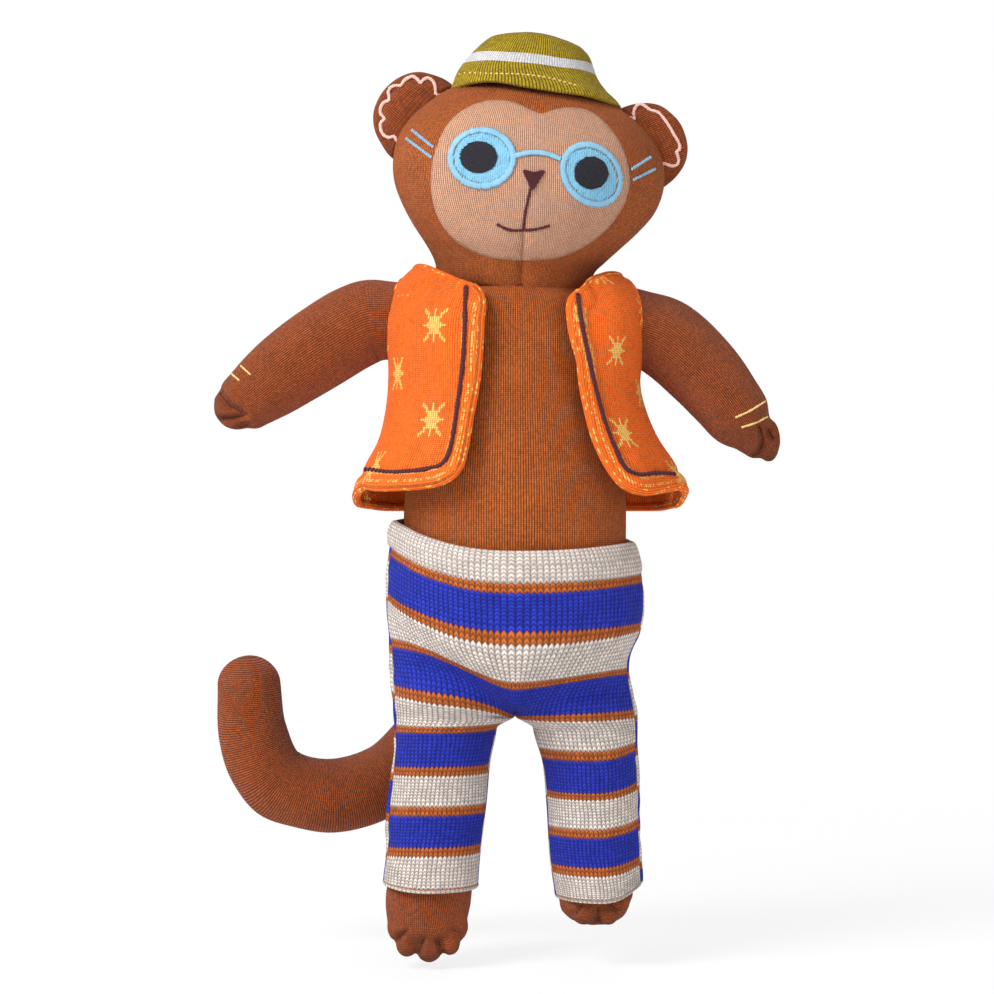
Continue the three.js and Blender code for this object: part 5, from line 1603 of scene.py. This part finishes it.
@dataclass
class Trousers:
    """The striped trousers, in two halves, with a rolled waistband and hems."""

    torso: Torso
    fold: tuple[float, float] = (3.1, 5.1)  # its middle and half height, in stitches down from the waist
    fold_thick: tuple[float, float] = (0.8, 2.7)  # how far its middle lies inside the cloth, and half its thickness
    hem: float = 1.1

    def build(self) -> list[bpy.types.Object]:
        """Builds the halves, the waistband and the hems."""
        lower_right = ((52, -104.5, -103.3, -103.3), (54, -108, -106.8, -106.8), (63, -124, -122.7, -122.7),
                       (65, -128, -127, -127), (74, -142.6, -141.2, -141.2), (76, -147, -145.6, -145.6),
                       (85, -161.5, -160.1, -160.1), (87, -165.7, -164.3, -164.3), (97, -178.6, -180.9, -180.5))
        lower_left = ((52, -112, -115.3, -113), (54, -116, -120, -117.5), (63, -130.5, -135.2, -133),
                      (65, -134, -138.4, -137), (74, -147.5, -151.8, -150), (76, -151.5, -156, -154),
                      (85, -165.5, -169.3, -167.5), (87, -169.5, -173.5, -171.5), (97, -178.6, -185.4, -183))
        right = TrouserLeg(-1, "right", (
            (-2, -9.5, -23, -4), (8, -21.6, -37.1, -18), (10, -24.9, -41.7, -21.6), (19, -42.8, -58.9, -38.5),
            (21, -45.6, -65, -42), (30, -63.9, -82.5, -60), (32, -68.2, -86.0, -64), (41, -85.5, -100.4, -88),
            (43, -90, -102, -94), *lower_right),
            ((-190, 63.4), (-178, 63), (-169, 61.6), (-141, 59.9), (-122, 57.6), (-94, 57.8), (-66, 59.7),
             (-28, 59.6), (-13, 57.4), (0, 56), (10, 55)),
            ((-190, 17.8), (-169, 16.5), (-141, 13.2), (-122, 11.4), (-108, 8.6), (-100, 8)))
        left = TrouserLeg(1, "left", (
            (-2, -19.4, -23, -4), (8, -34, -37.1, -18), (10, -37.6, -41.7, -21.6), (19, -56.4, -58.9, -38.5),
            (21, -60.2, -65, -42), (30, -78, -82.5, -60), (32, -80.8, -86, -64), (41, -97, -100.4, -88),
            (43, -101, -102, -94), *lower_left),
            ((-190, 60.4), (-178, 60.2), (-165, 59.4), (-141, 58.8), (-122, 58.2), (-101, 57.2), (-85, 54.8),
             (-73, 54.2), (-62, 58.6), (-50, 60.6), (-36, 59.8), (-25, 56.4), (-10, 54.4), (10, 54)),
            ((-190, 19.6), (-169, 16.4), (-141, 14.6), (-122, 12.6), (-108, 8.6), (-100, 8)))
        band = self.build_band(right, left)
        made = [band]
        for half, on_it in ((right, [band]), (left, [])):
            piece, hem = half.build(), self.build_hem(half)
            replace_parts(piece, "trousers")
            half.attach(piece)
            made += [piece, hem]
        return made

    def build_band(self, right: TrouserLeg, left: TrouserLeg) -> bpy.types.Object:
        """Folds the cloth over round the waist."""
        turns = np.linspace(0, -2 * math.pi, 41)[:-1]
        loops = []
        for turn in turns:
            count = np.array([self.fold[0] - self.fold[1] * math.sin(turn)])
            inset = self.fold_thick[0] - self.fold_thick[1] * math.copysign(abs(math.cos(turn)) ** 0.8, math.cos(turn))
            one, other = (half.rings(inset, count)[0][0] for half in (right, left))
            loops.append(np.vstack([one[:-1], other[::-1][:-1]]))
        rings = np.array(loops)
        rings += unit(rings * (1, 1, 0)) * (0.35 * ripple(rings, 30, 31))[..., None]
        rings = np.concatenate([rings, rings[:1]])
        made = closed_band("waistband_fold", rings, count_stitches(rings, 2 * TROUSER_WALES, 1.8), False)
        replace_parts(dress(made, Finish.CREAM), "trousers_waistband")
        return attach(made, "torso")

    def build_hem(self, half: TrouserLeg) -> bpy.types.Object:
        """Builds the thick lower edge of a leg."""
        outside, _, _ = half.rings(half.wall / 2)
        line = smooth_line(outside[-1][:-1], 1.6, True)
        made = roll(f"hem_{half.name}", line, self.hem, Finish.CREAM, True, 12, 6, 2.25)
        swap_stitches(made)
        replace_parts(made, f"trousers_hem_{half.name}")
        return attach(made, f"leg_{half.name}")


@dataclass
class Studio:
    """The floor, lamps and camera."""

    floor: float = -218.0
    focal: float = 100.17

    def camera(self) -> None:
        """Places the camera at the photograph's angle."""
        data = bpy.data.cameras.new("camera")
        data.lens, data.sensor_width = self.focal, 36.0
        made = bpy.data.objects.new("camera", data)
        made.location = tuple(EYE * MM)
        made.rotation_euler = (math.pi / 2, 0, 0)
        data.clip_start, data.clip_end = 0.01, 100
        bpy.context.scene.collection.objects.link(made)
        bpy.context.scene.camera = made

    def build(self) -> None:
        """Builds the whole studio."""
        self.camera()
        side = 3000.0
        corners = np.array([(-side, -side, self.floor), (side, -side, self.floor), (side, side, self.floor),
                            (-side, side, self.floor)])
        ground = make_mesh("floor", corners, [[0, 1, 2, 3]])
        ground.data.materials.append(self.paper())
        for name, place, size, power in (("key", (-1.15, -1.0, 1.2), 1.0, 36.0), ("fill", (1.0, -1.3, 0.3), 1.2, 5.0),
                                         ("back", (0.2, 1.3, 1.1), 1.2, 5.0)):
            lamp = bpy.data.lights.new(name, "AREA")
            lamp.shape, lamp.size, lamp.energy = "DISK", size, power
            made = bpy.data.objects.new(name, lamp)
            made.location = place
            made.rotation_euler = (-Vector(place)).to_track_quat("-Z", "Y").to_euler()
            bpy.context.scene.collection.objects.link(made)
        self.sky()
        bpy.context.scene.view_settings.view_transform = "Standard"

    def seen(self, tree: bpy.types.NodeTree) -> bpy.types.NodeSocket:
        """Is 1 for what the camera sees, also in gloss and through glass."""
        path = add_node(tree, "ShaderNodeLightPath").outputs
        first = add_node(tree, "ShaderNodeMath", {0: path["Is Camera Ray"], 1: path["Is Glossy Ray"]},
                         operation="MAXIMUM").outputs[0]
        return add_node(tree, "ShaderNodeMath", {0: first, 1: path["Is Transmission Ray"]},
                        operation="MAXIMUM").outputs[0]

    def paper(self) -> bpy.types.Material:
        """Builds the pale floor, which keeps a soft shadow."""
        made = bpy.data.materials.new("paper")
        made.use_nodes = True
        tree = made.node_tree
        base = tree.nodes["Principled BSDF"]
        base.inputs["Roughness"].default_value = 1.0
        base.inputs["Specular IOR Level"].default_value = 0.0
        grain = add_node(tree, "ShaderNodeTexNoise", {"Scale": 40.0})
        tint = add_node(tree, "ShaderNodeMix", {0: grain.outputs[0], 6: (0.93, 0.93, 0.93, 1), 7: (0.97, 0.97, 0.97, 1)},
                        data_type="RGBA")
        tree.links.new(tint.outputs[2], base.inputs["Base Color"])
        glow = add_node(tree, "ShaderNodeEmission", {"Color": (1, 1, 1, 1), "Strength": 1.0})
        place = add_node(tree, "ShaderNodeTexCoord").outputs["Object"]
        far = add_node(tree, "ShaderNodeVectorMath", {0: place}, operation="LENGTH").outputs["Value"]
        white = add_node(tree, "ShaderNodeMapRange", {0: far, 1: 0.3, 2: 0.9, 3: 0.8, 4: 1.0}).outputs[0]
        share = add_node(tree, "ShaderNodeMath", {0: self.seen(tree), 1: white}, operation="MULTIPLY").outputs[0]
        both = add_node(tree, "ShaderNodeMixShader", {0: share, 1: base.outputs[0], 2: glow.outputs[0]})
        tree.links.new(both.outputs[0], tree.nodes["Material Output"].inputs[0])
        return made

    def sky(self) -> None:
        """Surrounds the doll with even white light."""
        world = bpy.data.worlds.new("studio")
        world.use_nodes = True
        tree = world.node_tree
        base = tree.nodes["Background"]
        strength = add_node(tree, "ShaderNodeMix", {0: self.seen(tree), 2: 0.5, 3: 1.0}, data_type="FLOAT")
        base.inputs["Color"].default_value = (1, 1, 1, 1)
        tree.links.new(strength.outputs[0], base.inputs["Strength"])
        bpy.context.scene.world = world


def main() -> None:
    """Builds the doll and the studio round it, and reports each piece."""
    Studio().build()
    torso = Torso()
    made = [torso.build()]
    head = Head()
    head_body = head.build()
    made += [head_body, head.build_neck()]
    made += Face(Surface(head_body)).build()
    made += Ear(-1, "right", (
        (-33.4, 190.1), (-37.1, 190.8), (-37.4, 193.6), (-38.5, 196.7), (-40.9, 198.3), (-43.0, 197.4), (-44.4, 196.0),
        (-45.8, 197.6), (-47.9, 199.0), (-50.3, 198.3), (-52.2, 196.9), (-53.6, 194.8), (-55.9, 194.8), (-58.3, 193.9),
        (-59.5, 191.8), (-59.0, 188.9), (-59.2, 188.0), (-61.6, 186.8), (-63.0, 184.7), (-63.2, 181.9), (-61.3, 179.1),
        (-63.0, 177.2), (-63.0, 174.4), (-61.6, 171.6), (-59.2, 170.4), (-56.6, 170.8), (-55.7, 169.2), (-54.1, 167.3)),
        56.4, 22.4, 19.4, head).build()
    made += Ear(1, "left", (
        (52.2, 179.5), (54.1, 179.8), (55.9, 179.1), (55.7, 181.4), (56.4, 184.2), (57.8, 185.7), (59.7, 185.8),
        (61.6, 184.7), (63.7, 183.1), (65.3, 182.8), (67.2, 182.1), (69.1, 180.2), (71.0, 177.7), (72.9, 174.8),
        (74.7, 171.6), (76.4, 168.7), (77.3, 166.4), (77.1, 164.7), (75.9, 163.8), (76.4, 161.7), (76.8, 159.3),
        (76.1, 157.7), (74.3, 157.0), (71.9, 157.5), (69.6, 158.2), (68.6, 156.5), (67.0, 154.2)),
        54.4, 21.2, 17.6, head).build()
    made += Hat(head).build()
    made += Arm("right", (-48.5, 0, 84), (
        (0, 0, 0, 17.4, 17.4), (-11, 0, 0.4, 18.4, 17.6), (-20.2, 0, 0, 19.4, 18), (-26.5, 0, -2.6, 19.7, 18.3),
        (-40.5, 0, -10.8, 19.6, 18.6), (-56, 0, -21, 18.3, 17.6), (-69.5, 0, -31.2, 16.5, 15.4),
        (-78.5, 0, -38.2, 14.4, 12.6)),
        (((-138.9, 50.6), (-136.3, 47.2), (-133.5, 44.1), (-130.8, 42.5), (-128.9, 41.5)),
         ((-137.8, 38.2), (-133.5, 38.3), (-130.8, 38.8), (-127.0, 39.6)), ((-129.6, 34.0), (-126.2, 35.0))),
        (((-129.0, 63.2), (-124.6, 59.2)), ((-133.2, 59.3), (-129.6, 56.2))),
        ((-130.4, 44.2, 11.3, 9.2, 11.3),)).build()
    made += Arm("left", (48.5, 0, 84), (
        (0, 0, 0, 17.4, 17.4), (10, 0, -3, 17.8, 17.6), (19.3, 0, -6.5, 18.6, 18), (28, 0, -12.4, 18.5, 18.2),
        (39.9, 0, -23.6, 18.1, 18), (51, 0, -37.3, 16.6, 17), (59, 0, -48.5, 14.2, 14.6), (63.4, 0, -53.6, 10.3, 11)),
        (((115.0, 34.8), (116.4, 30.6), (116.8, 27.0), (115.5, 23.9), (113.7, 21.4), (111.9, 20.8)),
         ((119.3, 33.3), (120.4, 31.0), (121.7, 29.2))),
        (((103.7, 38.8), (110.4, 41.9), (117.4, 46.3)), ((106.6, 34.2), (112.8, 36.2), (118.7, 39.2))),
        ((119.2, 27.9, 5.4, 6.5, 10.2), (113.2, 27.4, 7.6, 8.5, 8.0))).build()
    made += Leg("right", (-34.5, 0, -95), (
        (0, 0, 0, 20.5, 20.5), (-1, 0, -30, 18.8, 18.8), (-2.8, 0, -62, 18.4, 18.6), (-4.6, 0, -82, 19.2, 18.6),
        (-6.2, -5.5, -94, 20, 15), (-6.8, -11, -104, 18, 10.9)),
        ((-54.6, -10, -198.8, 5.2, 7, 7), (-50.4, -13, -206.6, 5.2, 6.2, 6), (-40, -15, -208.8, 6, 6.4, 6),
         (-30.2, -13, -206, 4.7, 6, 5.8), (-27, -10, -198.6, 5.2, 7, 7)),
        (((-55.9, -206.8), (-51.2, -202.6)), ((-45.8, -213.1), (-43, -206.3)), ((-33.8, -212.4), (-36.4, -207)),
         ((-26.1, -203.5), (-29.8, -201.5)))).build()
    made += Leg("left", (34.5, 0, -95), (
        (0, 0, 0, 20.5, 20.5), (1, 0, -30, 18.8, 18.8), (2.7, 0, -62, 18.2, 18.4), (4.4, 0, -81, 17, 17.4),
        (2.7, -5, -90, 17.2, 13.4), (2.4, -9, -95, 15.4, 9.8)),
        ((25.2, -7, -188.8, 4.4, 6, 5.2), (32, -12.5, -191.8, 6, 6.5, 6), (43.2, -12.5, -192, 5.3, 6.5, 5.9),
         (49.4, -10, -187.2, 4.3, 6, 5.2)),
        (((28.4, -194.3), (31.5, -190.6)), ((39, -198.8), (39, -192)), ((48.4, -192.9), (45.1, -190.4)))).build()
    made.append(Tail().build())
    vest_right = Waistcoat(-1, "right", (
        (-6, 74.5, 50, 56, 1), (5, 73.3, 50, 54, 1), (16, 70, 48.5, 51, 1), (27, 64.4, 46.5, 48, 0.95),
        (41, 61, 44.5, 46, 0.9), (55, 59.6, 43, 44.5, 0.82), (66, 59.6, 42, 43.5, 0.76), (76, 60.6, 40.5, 42, 0.74),
        (87, 61, 38, 40, 0.74), (95, 59, 35.5, 37, 0.78), (102, 54.8, 34.6, 36, 0.84), (108, 49, 32.6, 34, 0.9),
        (113, 43, 31, 32.4, 0.95)),
        ((-17.9, 102.2), (-14.6, 99.2), (-12.9, 94.9), (-13.4, 81.8), (-14.8, 63.4), (-16.4, 51.7), (-18.6, 40.9),
         (-20.2, 30.5), (-21.6, 22.6), (-24.0, 14.6), (-28.2, 9.9), (-33.8, 7.0), (-39.9, 5.6), (-49.3, 4.5),
         (-58.3, 4.0), (-72.0, 5.0)),
        ((-23.0, 100.6), (-23.3, 91.2), (-23.5, 81.8), (-24.0, 70.5), (-25.1, 57.8), (-26.8, 45.6), (-28.4, 34.3),
         (-30.3, 24.4), (-32.0, 19.7), (-34.8, 16.4), (-40.9, 14.6), (-49.3, 13.4), (-58.8, 12.9), (-70.0, 14.4)),
        ((18.5, 99.0), (34, 103.6), (58, 108.4), (84, 109.6), (110, 108), (145, 104.5), (180, 103.5)), ((-37.6, 81.5), (-39, 37.1)), 94)
    vest_left = Waistcoat(1, "left", (
        (-6, 80, 50, 56, 1), (5, 78.6, 50, 54, 1), (16, 75, 48.5, 51, 1), (29, 66.8, 46.5, 48, 0.95),
        (41, 61.8, 44.5, 46, 0.9), (55, 58.8, 43, 44.5, 0.82), (65, 59.8, 42, 43.5, 0.76), (78, 61, 40.5, 42, 0.74),
        (87, 61, 38, 40, 0.74), (94, 59.6, 35.5, 37, 0.78), (101, 55.4, 34.6, 36, 0.84), (106, 49.6, 32.6, 34, 0.9),
        (112, 43, 31, 32.4, 0.95)),
        ((28.4, 99.6), (24.7, 95.9), (23.5, 90.2), (24.2, 82.2), (25.6, 75.2), (29.1, 61.1), (32.0, 43.7), (37.1, 25.4),
         (40.4, 17.9), (44.2, 11.3), (47.5, 7.0), (51.2, 4.2), (57.8, 2.1), (68.1, 2.6), (77.0, 4.6)),
        ((29.4, 97.3), (30.5, 87.9), (32.4, 77.5), (34.5, 67.7), (36.7, 57.3), (38.8, 48.9), (40.9, 40.9), (44.2, 31.0),
         (47.7, 23.0), (50.3, 17.4), (53.1, 13.9), (57.8, 11.8), (65.8, 12.5), (75.4, 12.2)),
        ((29, 96.6), (36, 101.5), (50, 104.4), (84, 105.8), (110, 105), (145, 103.8), (180, 103.5)), ((47.6, 69.6), (50.5, 31)))
    for vest in (vest_right, vest_left):
        pieces = vest.build()
        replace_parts(pieces[0], "vest")
        vest.attach(pieces)
        made += pieces
    made += Trousers(torso).build()
    for piece in made:
        log.info("%s, %d faces", piece.name, len(piece.data.polygons))


if __name__ == "__main__":
    main()
